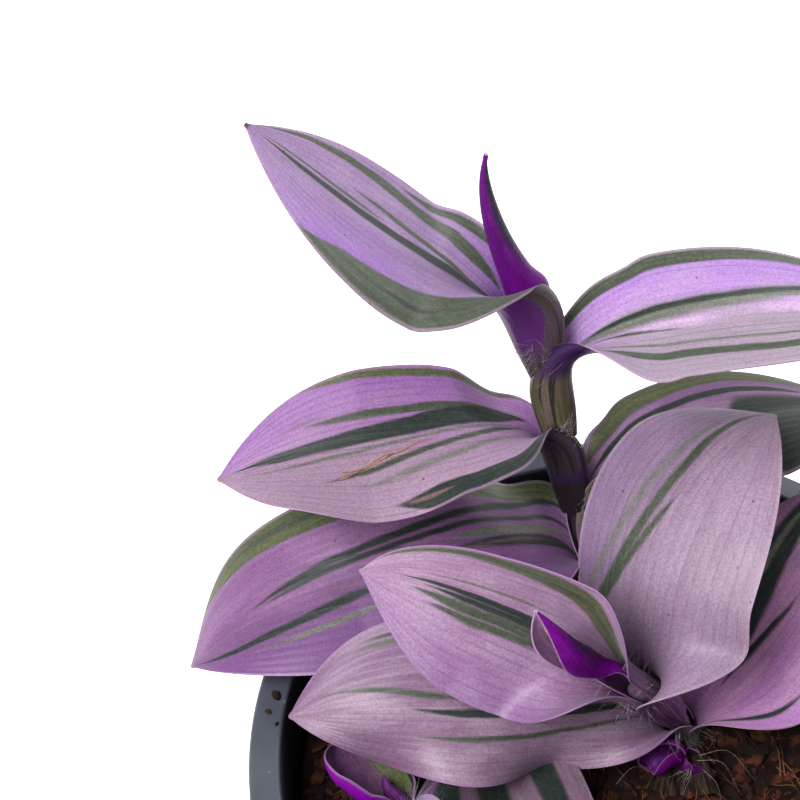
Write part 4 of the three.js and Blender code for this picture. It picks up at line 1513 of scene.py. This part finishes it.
FINISHES = {
    "leaf_a4": LeafFinish((
        Stripe(0.2, -0.06, 0.14, 0.07, 0.0, 1.02, Tint.DARK, 0.035),
        Stripe(0.35, 0.02, 0.3, 0.02, 0.45, 1.04),
        Stripe(0.1, 0.42, 0.4, 0.03, 0.02, 0.66),
        Stripe(0.5, 0.82, 0.86, 0.085, 0.0, 1.04, point=0.035),
        Stripe(0.86, 0.95, 0.8, 0.05, 0.02, 0.5, point=0.03),
        Stripe(-0.8, -0.84, -1.15, 0.27, -0.2, 0.78, point=0.12),
        Stripe(-0.74, -0.8, -0.8, 0.035, 0.24, 0.5, Tint.DARK)),
        flesh="9f80ad", pale="ad90b9", violet="9a5fc0", violet_share=0.85, violet_from=0.3,
        violet_to=0.9, margin="a08a98", under="45145c", under_pale="5b2870", collar="5c0a72",
        collar_span=(-0.52, 0.8), lines=("2b221f", "47422f", "554353"), tip_tone="4a3a34",
        seed=1.0),
    "leaf_a3": LeafFinish((
        Stripe(-0.93, -0.84, -1.05, 0.08, -0.1, 1.1),
        Stripe(-0.25, -0.1, -0.8, 0.11, 0.0, 1.1, Tint.GREY, 0.05, soft=0.06),
        Stripe(-0.3, -0.2, -0.75, 0.03, 0.0, 0.9, Tint.DARK),
        Stripe(-0.15, 0.25, 0.2, 0.025, 0.05, 0.36),
        Stripe(0.4, 0.72, 0.6, 0.06, 0.0, 1.1, point=0.05),
        Stripe(0.2, 0.45, 0.4, 0.02, 0.0, 0.8, Tint.GREY)),
        flesh="c6a1d0", pale="ccb2cc", half_tone="a79aa4", half_side=1.0, violet="9c60c4",
        violet_share=0.6, margin="b7a0b0", under="3b2346", under_pale="54405a", collar="36104c",
        collar_fade=(-0.22, 0.0), collar_span=(-0.2, 1.3), lines=("1f1b15", "4a492b", "5f5049"),
        seed=2.0),
    "leaf_a2": LeafFinish((
        Stripe(0.95, 0.76, 1.22, 0.045, 0.0, 0.8, Tint.OLIVE),
        Stripe(0.55, 0.3, 0.5, 0.05, 0.0, 0.76, point=0.03),
        Stripe(0.55, 0.0, 0.08, 0.11, 0.0, 1.0, Tint.DARK, 0.06),
        Stripe(0.5, 0.0, 0.12, 0.04, 0.05, 0.75, Tint.DARK),
        Stripe(0.35, -0.1, -0.25, 0.018, 0.0, 0.95, Tint.GREY),
        Stripe(0.35, -0.4, -0.75, 0.035, 0.0, 0.72, point=0.025),
        Stripe(0.1, -0.65, -0.8, 0.05, 0.0, 0.62, Tint.GREY, 0.03, soft=0.05, depth=0.8),
        Stripe(-0.98, -0.84, -0.62, 0.2, -0.1, 0.52, Tint.DARK, 0.04),
        Stripe(-0.82, -0.82, -0.82, 0.05, 0.28, 0.5, Tint.BROWN),
        Stripe(0.5, 0.5, 0.5, 0.03, 0.62, 0.84, Tint.BROWN, soft=0.06, depth=0.7)),
        flesh="a779ad", pale="ac85b0", half_tone="ab93a4", violet="9a5ec2", violet_side=1,
        violet_share=0.3, margin="a3859f", under="42304a", under_pale="5a4460",
        lines=("1b1215", "30262a", "44304a"), ring=-0.52, seed=3.0),
    "leaf_a1": LeafFinish((
        Stripe(0.98, 0.68, 0.95, 0.15, -0.1, 1.02, Tint.OLIVE, 0.13),
        Stripe(0.95, 0.75, 0.9, 0.03, 0.1, 0.9),
        Stripe(0.82, 0.16, 0.0, 0.034, -0.05, 0.84, Tint.DARK, 0.03),
        Stripe(0.6, 0.1, -0.02, 0.026, -0.05, 0.8, Tint.DARK),
        Stripe(0.45, 0.0, -0.2, 0.045, -0.05, 0.36, Tint.GREY),
        Stripe(0.26, 0.0, -0.2, 0.06, -0.1, 0.34, Tint.DARK, 0.03),
        Stripe(0.1, -0.05, -0.65, 0.04, 0.42, 1.08, Tint.DARK),
        Stripe(0.3, -0.1, -0.3, 0.016, 0.0, 0.7, Tint.BROWN, depth=0.6),
        Stripe(0.0, -0.35, -0.75, 0.025, 0.42, 0.84, Tint.GREY)),
        flesh="8b5f8f", pale="976d99", half_tone="7b5480", violet="7c4198", violet_share=0.3,
        margin="a78ca6", tip_tone="8b6f5e", throat="1c0c24", seed=4.0),
    "leaf_b1": LeafFinish((
        Stripe(0.3, 1.2, 0.9, 0.13, -0.1, 0.95, Tint.OLIVE, 0.08, soft=0.03),
        Stripe(0.35, 1.1, 0.85, 0.03, 0.0, 0.8),
        Stripe(0.1, 0.04, 0.2, 0.05, 0.0, 0.88, Tint.DARK, 0.03),
        Stripe(0.06, -0.08, 0.1, 0.035, 0.0, 0.8, Tint.DARK),
        Stripe(0.05, -0.22, 0.0, 0.045, 0.05, 0.84),
        Stripe(0.0, -0.36, -0.1, 0.035, 0.1, 0.78),
        Stripe(0.25, 0.35, 0.3, 0.015, 0.3, 0.8, Tint.GREY)),
        flesh="a983a5", pale="b799b4", violet="7f4a9a", violet_share=0.32, margin="96709c",
        lines=("6a4c66", "80647c", "937991"), seed=5.0),
    # Leaf b2's sheath keeps its striped lines, darkened to deep purple as painted shade
    "leaf_b2": LeafFinish((
        Stripe(-0.95, 0.15, -0.35, 0.04, -0.1, 1.08, point=0.032),
        Stripe(-0.9, 0.2, 0.0, 0.03, 0.1, 0.6),
        Stripe(-1.1, -0.1, -0.45, 0.035, 0.05, 1.02, Tint.GREY, soft=0.05, depth=0.75)),
        flesh="9a8197", pale="a68fa3", violet="84639c", violet_share=0.35, margin="a890a6",
        lines=("45284a", "5e3c64", "714d76"), throat="4f2f55", seed=6.0),
    "leaf_b0": LeafFinish((
        Stripe(0.35, -0.6, 0.4, 0.055, -0.1, 0.72, Tint.DARK, 0.03),
        Stripe(0.0, -0.15, 0.45, 0.03, 0.5, 0.95),
        Stripe(0.1, -0.9, -0.1, 0.028, 0.02, 0.72),
        Stripe(0.7, 0.72, 0.8, 0.04, 0.62, 0.86),
        Stripe(0.6, 0.82, 0.9, 0.03, 0.6, 0.84, Tint.DARK),
        Stripe(0.5, 0.35, 0.3, 0.02, 0.1, 0.8, Tint.BROWN, depth=0.5)),
        flesh="8d6b87", pale="a88fa2", violet="6e3f78", violet_side=1, violet_share=0.35,
        margin="8c668f", seed=7.0),
    "leaf_b3": LeafFinish((
        Stripe(-0.05, -0.3, -0.95, 0.17, 0.12, 1.1, Tint.DARK, 0.12, soft=0.04),
        Stripe(-0.35, -0.3, -0.95, 0.03, 0.2, 1.0, Tint.GREY, soft=0.03),
        Stripe(0.0, 0.1, 0.12, 0.032, 0.1, 0.52, Tint.DARK),
        Stripe(0.72, 0.82, 0.8, 0.035, 0.0, 0.34, Tint.DARK)),
        flesh="bd88ba", pale="cfa0c6", violet="844aa0", violet_side=1, violet_share=0.35,
        margin="9d7e9b", seed=8.0),
    "leaf_a6": LeafFinish((
        Stripe(-0.7, -0.95, -0.86, 0.13, 0.0, 0.95, Tint.OLIVE, soft=0.03),
        Stripe(-0.75, -0.9, -0.8, 0.03, 0.0, 0.5, Tint.STRAW),
        Stripe(-0.4, -0.55, -0.45, 0.05, 0.0, 0.85, Tint.DARK),
        Stripe(0.4, 0.4, 0.4, 0.55, 0.42, 1.2, Tint.DARK, soft=0.1),
        Stripe(0.1, 0.1, 0.2, 0.03, 0.0, 0.8)),
        flesh="a57c9e", pale="b48fae", violet="6d3c92", violet_share=0.5, margin="8f7a8c",
        under="3d2c3a", under_pale="59415a", seed=9.0),
    "leaf_a5": rolled((
        Stripe(-0.78, -0.75, -0.7, 0.2, -0.6, 1.1, Tint.DARK, 0.3, soft=0.08),
        Stripe(0.3, 0.35, 0.4, 0.06, -0.8, 0.4, Tint.PALE, soft=0.05)),
        flesh="7a3f98", pale="8a52a4", violet="5b1f86", under="620a76", under_pale="7a1a8e",
        margin="a58aa8", gloss=0.2, seed=21.0),
    "leaf_b4": rolled((
        Stripe(0.35, 0.4, 0.3, 0.07, -0.2, 1.0, Tint.DARK, soft=0.05, depth=0.75),
        Stripe(-0.19, -0.19, -0.19, 0.13, 0.56, 0.9, Tint.CREAM, soft=0.05),
        Stripe(-0.4, -0.5, -0.3, 0.05, -0.2, 0.9, Tint.BROWN, depth=0.6)),
        flesh="b48fab", pale="c09fb4", violet="8c5098", under="68057a", under_pale="800c92",
        margin="b793b6", gloss=0.06, throat="5e2468", seed=22.0),
    "bud_b": rolled((
        Stripe(0.0, 0.1, 0.0, 0.05, -0.6, 0.9, Tint.VIOLET, soft=0.04, depth=0.6),),
        flesh="5a1468", pale="6a2476", violet="4e0a62", under="520258", under_pale="68066e",
        margin="6f3a74", gloss=0.1, seed=23.0),
    "leaf_c1": rolled((
        Stripe(0.55, 0.6, 0.6, 0.35, 0.0, 1.1, Tint.OLIVE, soft=0.1),
        Stripe(0.9, 0.9, 0.9, 0.07, 0.0, 1.1, Tint.DARK)),
        flesh="6e4a6c", pale="7f5c7a", violet="5f2a76", under="80069a", under_pale="9614b0",
        margin="8f6a94", gloss=0.06, throat="4a2450", seed=24.0),
    "leaf_c0": rolled((),
        flesh="6a2a72", pale="7c3c84", violet="5a1466", under="5a1466", under_pale="6c2478",
        margin="a884a6", gloss=0.2, seed=26.0),
    "leaf_d1": LeafFinish((
        Stripe(0.0, -0.2, -0.1, 0.12, 0.0, 1.1, Tint.DARK, soft=0.05),
        Stripe(0.5, 0.6, 0.5, 0.13, 0.0, 1.1, Tint.DARK, soft=0.04),
        Stripe(-0.6, -0.66, -0.6, 0.12, 0.0, 1.1, Tint.DARK, soft=0.04)),
        flesh="7f6576", pale="8d7484", violet="5c3470", margin="85707f", seed=25.0),
}


def finish_for(leaf: Leaf, index: int) -> LeafFinish:
    """The finish of a leaf: its own, or one of the common patterns.

    Args:
        leaf: the leaf.
        index: its place in the list.

    Returns:
        The finish.
    """
    if leaf.name in FINISHES:
        return FINISHES[leaf.name]
    if leaf.young:
        return rolled((Stripe(0.5, 0.6, 0.2, 0.08, -0.3, 0.9, Tint.DARK, soft=0.05),
                       Stripe(-0.6, -0.6, -0.3, 0.05, -0.3, 0.9, Tint.PALE, soft=0.04)),
                      "500c68", "661c80", flesh="7f4a98", pale="9063a4", violet="62248c",
                      margin="a385a6", gloss=0.25, seed=20.0 + index)
    flesh, pale, stripes = COMMON[index % len(COMMON)]
    return LeafFinish(stripes, flesh=flesh, pale=pale, violet_side=(-1) ** index,
                      violet_share=0.45, seed=10.0 + index)


@dataclass
class Hairs:
    """Fine hairs round the mouths of one stem's sheaths, a third as many on sparse stems."""

    letter: str
    leaves: list[Leaf]
    per_leaf: int = 96
    sparse: tuple[str, ...] = ("b", "g")
    width: float = 0.017

    def build(self, material: Surface) -> Piece:
        """Grow the hairs from the outside of each sheath.

        Args:
            material: the hairs' finish.

        Returns:
            All hairs of the stem as one piece.
        """
        dice = Dice(ord(self.letter))
        pattern, base = strand_pattern(5)
        run = base[:, 2]
        usual = self.per_leaf // 3 if self.letter in self.sparse else self.per_leaf
        places = []
        for leaf in self.leaves:
            surface = leaf.surface
            for _ in range(int(usual * leaf.down)):
                row = leaf.sheath_rows + int(dice.triangular(*leaf.tuft))
                column = int(dice.triangular(*leaf.shag))
                column = column + 1 if dice.random() < 0.5 else leaf.columns - 1 - column
                root = surface[row, column]
                ahead = unit(surface[row + 1, column] - surface[row - 1, column])
                aside = unit(surface[row, column + 1] - surface[row, column - 1])
                out = -np.cross(aside, ahead)
                length = dice.uniform(1.4, 5.0)
                lean = dice.uniform(-0.2, 1.0)
                way = unit(out + ahead * lean + aside * dice.uniform(-0.6, 0.6))
                bow = dice.uniform(-0.3, 0.4)
                line = np.outer(run * length, way) + np.outer(run * run * length * bow, ahead)
                first = unit(np.cross(way, [0.3, 0.5, 0.8]))
                second = np.cross(way, first)
                places.append(root + out * 0.2 + line + np.outer(base[:, 0] * self.width, first)
                              + np.outer(base[:, 1] * self.width, second))
        piece = copies(f"shoot_{self.letter}_hairs", pattern, places)
        piece.data.materials.append(material)
        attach(piece, "root")
        return piece


@dataclass
class DrySheath:
    """Papery old sheath that lies under the low bud, with a drawn-out corner."""

    finish: PaperFinish = PaperFinish()
    corners: tuple[Point, ...] = (
        (0.2, -1.6, 96.2), (12.6, -2.4, 96.0), (3.4, 1.4, 97.2), (10.2, 3.0, 98.8))
    dip: float = 1.1
    crease: float = 0.16
    thickness: float = 0.16
    columns: int = 22
    rows: int = 12

    def build(self) -> Piece:
        """Model and dress the flake, a trough between its four corners with torn margins.

        Returns:
            The flake.
        """
        flake = flat_grid("dry_sheath", self.columns, self.rows, 1.0)
        flat = mesh_points(flake) + [0.5, 0.5, 0.0]
        low_left, low_right, high_left, high_right = (np.array(p) for p in self.corners)
        placed = []
        for u, v, _ in flat:
            torn = 0.12 * noise.noise(Vector((u * 9, 4.0, 0.0))) * (1 if v > 0.5 else -1)
            v = v + torn * abs(2 * v - 1)
            low = low_left + (low_right - low_left) * u
            high = high_left + (high_right - high_left) * u
            point = low + (high - low) * v
            hollow = self.dip * math.sin(math.pi * min(max(u, 0), 1)) * (1 - 0.5 * v)
            crease = self.crease * math.sin(17 * u + 4 * v) * (0.3 + v)
            bow = -0.8 * math.sin(math.pi * u) * (1 - v)
            placed.append(point + np.array([0.0, bow, crease - hollow]))
        place_points(flake, np.array(placed))
        apply_modifier(flake, "SOLIDIFY", thickness=self.thickness * MM, offset=0.0)
        flake.data.materials.append(self.finish.material())
        shade(flake, 60)
        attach(flake, "root")
        return flake


@dataclass
class LooseFibres:
    """Dry fibres: a forked golden one on a leaf, and thin ones that trail from the dry sheath."""

    width: float = 0.085
    forks: tuple[tuple[Pair, Pair], ...] = (
        ((-0.44, 0.64), (-0.02, 0.36)), ((-0.36, 0.62), (-0.02, 0.36)),
        ((-0.25, 0.53), (0.03, 0.33)))
    trails: tuple[tuple[Point, Point, Point], ...] = (
        ((9.5, 2.2, 99.0), (14.0, 2.6, 99.6), (18.0, -1.0, 97.0)),
        ((9.0, 1.5, 98.6), (13.0, 1.0, 98.8), (15.5, -3.0, 96.4)),
        ((10.0, 0.5, 97.6), (12.0, -1.5, 97.0), (12.6, -4.5, 96.2)),
        ((2.0, 0.5, 98.0), (-1.0, 0.5, 98.2), (-3.5, -1.5, 96.6)))

    def build(self, leaf: Leaf) -> list[Piece]:
        """Model and dress the fibres.

        Args:
            leaf: the leaf that carries the golden one.

        Returns:
            The golden fibre and the trailing ones.
        """
        gold = self.strands("golden_fibre", [self.on_leaf(leaf, *ends) for ends in self.forks], 1.3)
        gold.data.materials.append(PeatFinish().crumbs("golden_fibre", "9a6a34", "d9a765"))
        hung = [Line.through(points) for points in self.trails]
        trail = self.strands("sheath_fibres", hung, 0.55)
        trail.data.materials.append(PeatFinish().crumbs("sheath_fibre", "8c7274", "cbb6b4"))
        for piece in (gold, trail):
            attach(piece, "root")
        return [gold, trail]

    def on_leaf(self, leaf: Leaf, start: Pair, end: Pair) -> Line:
        """A line that lies on a leaf between two places across and along it."""
        spots = []
        for share in np.linspace(0, 1, 9):
            across = start[0] + (end[0] - start[0]) * share
            along = start[1] + (end[1] - start[1]) * share
            column = int(round((across + 1) / 2 * leaf.columns))
            row = leaf.sheath_rows + int(round(along * leaf.rows))
            ahead = leaf.surface[row + 1, column] - leaf.surface[row - 1, column]
            aside = leaf.surface[row, column + 1] - leaf.surface[row, column - 1]
            spots.append(leaf.surface[row, column] + unit(np.cross(aside, ahead)) * 0.4)
        return Line.through(spots)

    def strands(self, name: str, lines: list[Line], share: float) -> Piece:
        """Thin tapering strands along given lines.

        Args:
            name: the piece's name.
            lines: the strands' middle lines.
            share: their width, as a share of the usual one.

        Returns:
            The piece with all strands.
        """
        pattern, base = strand_pattern(12)
        width = self.width * share
        places = []
        for line in lines:
            runs = np.clip(base[:, 2], 0, 1) * line.length
            headings = line.heading(runs)
            first = np.cross(headings, [0.2, 0.3, 0.9])
            first /= np.linalg.norm(first, axis=1)[:, None]
            second = np.cross(headings, first)
            places.append(line.point(runs) + first * base[:, :1] * width
                          + second * base[:, 1:2] * width)
        return copies(name, pattern, places)


class Plant:
    """The shoots, the bud's stem and their leaves."""

    def build(self) -> list[Piece]:
        """Model and dress all stems, leaves and hairs.

        Returns:
            The plant's pieces.
        """
        curves = {shoot.letter: shoot.curve() for shoot in SHOOTS}
        pieces = []
        for shoot in SHOOTS:
            joints = [leaf.at for leaf in LEAVES if leaf.stem == shoot.letter]
            pieces.append(shoot.build(joints))
        for index, leaf in enumerate(LEAVES):
            pieces.append(leaf.build(curves[leaf.stem], finish_for(leaf, index)))
        white = HairFinish().material()
        for shoot in SHOOTS:
            mine = [leaf for leaf in LEAVES if leaf.stem == shoot.letter]
            pieces.append(Hairs(shoot.letter, mine).build(white))
        pieces.append(DrySheath().build())
        pieces += LooseFibres().build(next(leaf for leaf in LEAVES if leaf.name == "leaf_a2"))
        return pieces


def report(pieces: Sequence[Piece]) -> None:
    """Tell the name and size of each piece."""
    for piece in pieces:
        faces = sum(len(p.vertices) - 2 for p in piece.data.polygons)
        size = [round(side / MM, 1) for side in piece.dimensions]
        LOG.info("%s: %d triangles, %s mm", piece.name, faces, size)


def main() -> None:
    """Build the camera, the studio and every sub-assembly in order."""
    logging.basicConfig(level=logging.INFO, format="%(message)s")
    camera()
    studio()
    report(Pot().build())
    report(Soil().build())
    report(Plant().build())
    deselect()


if __name__ == "__main__":
    main()
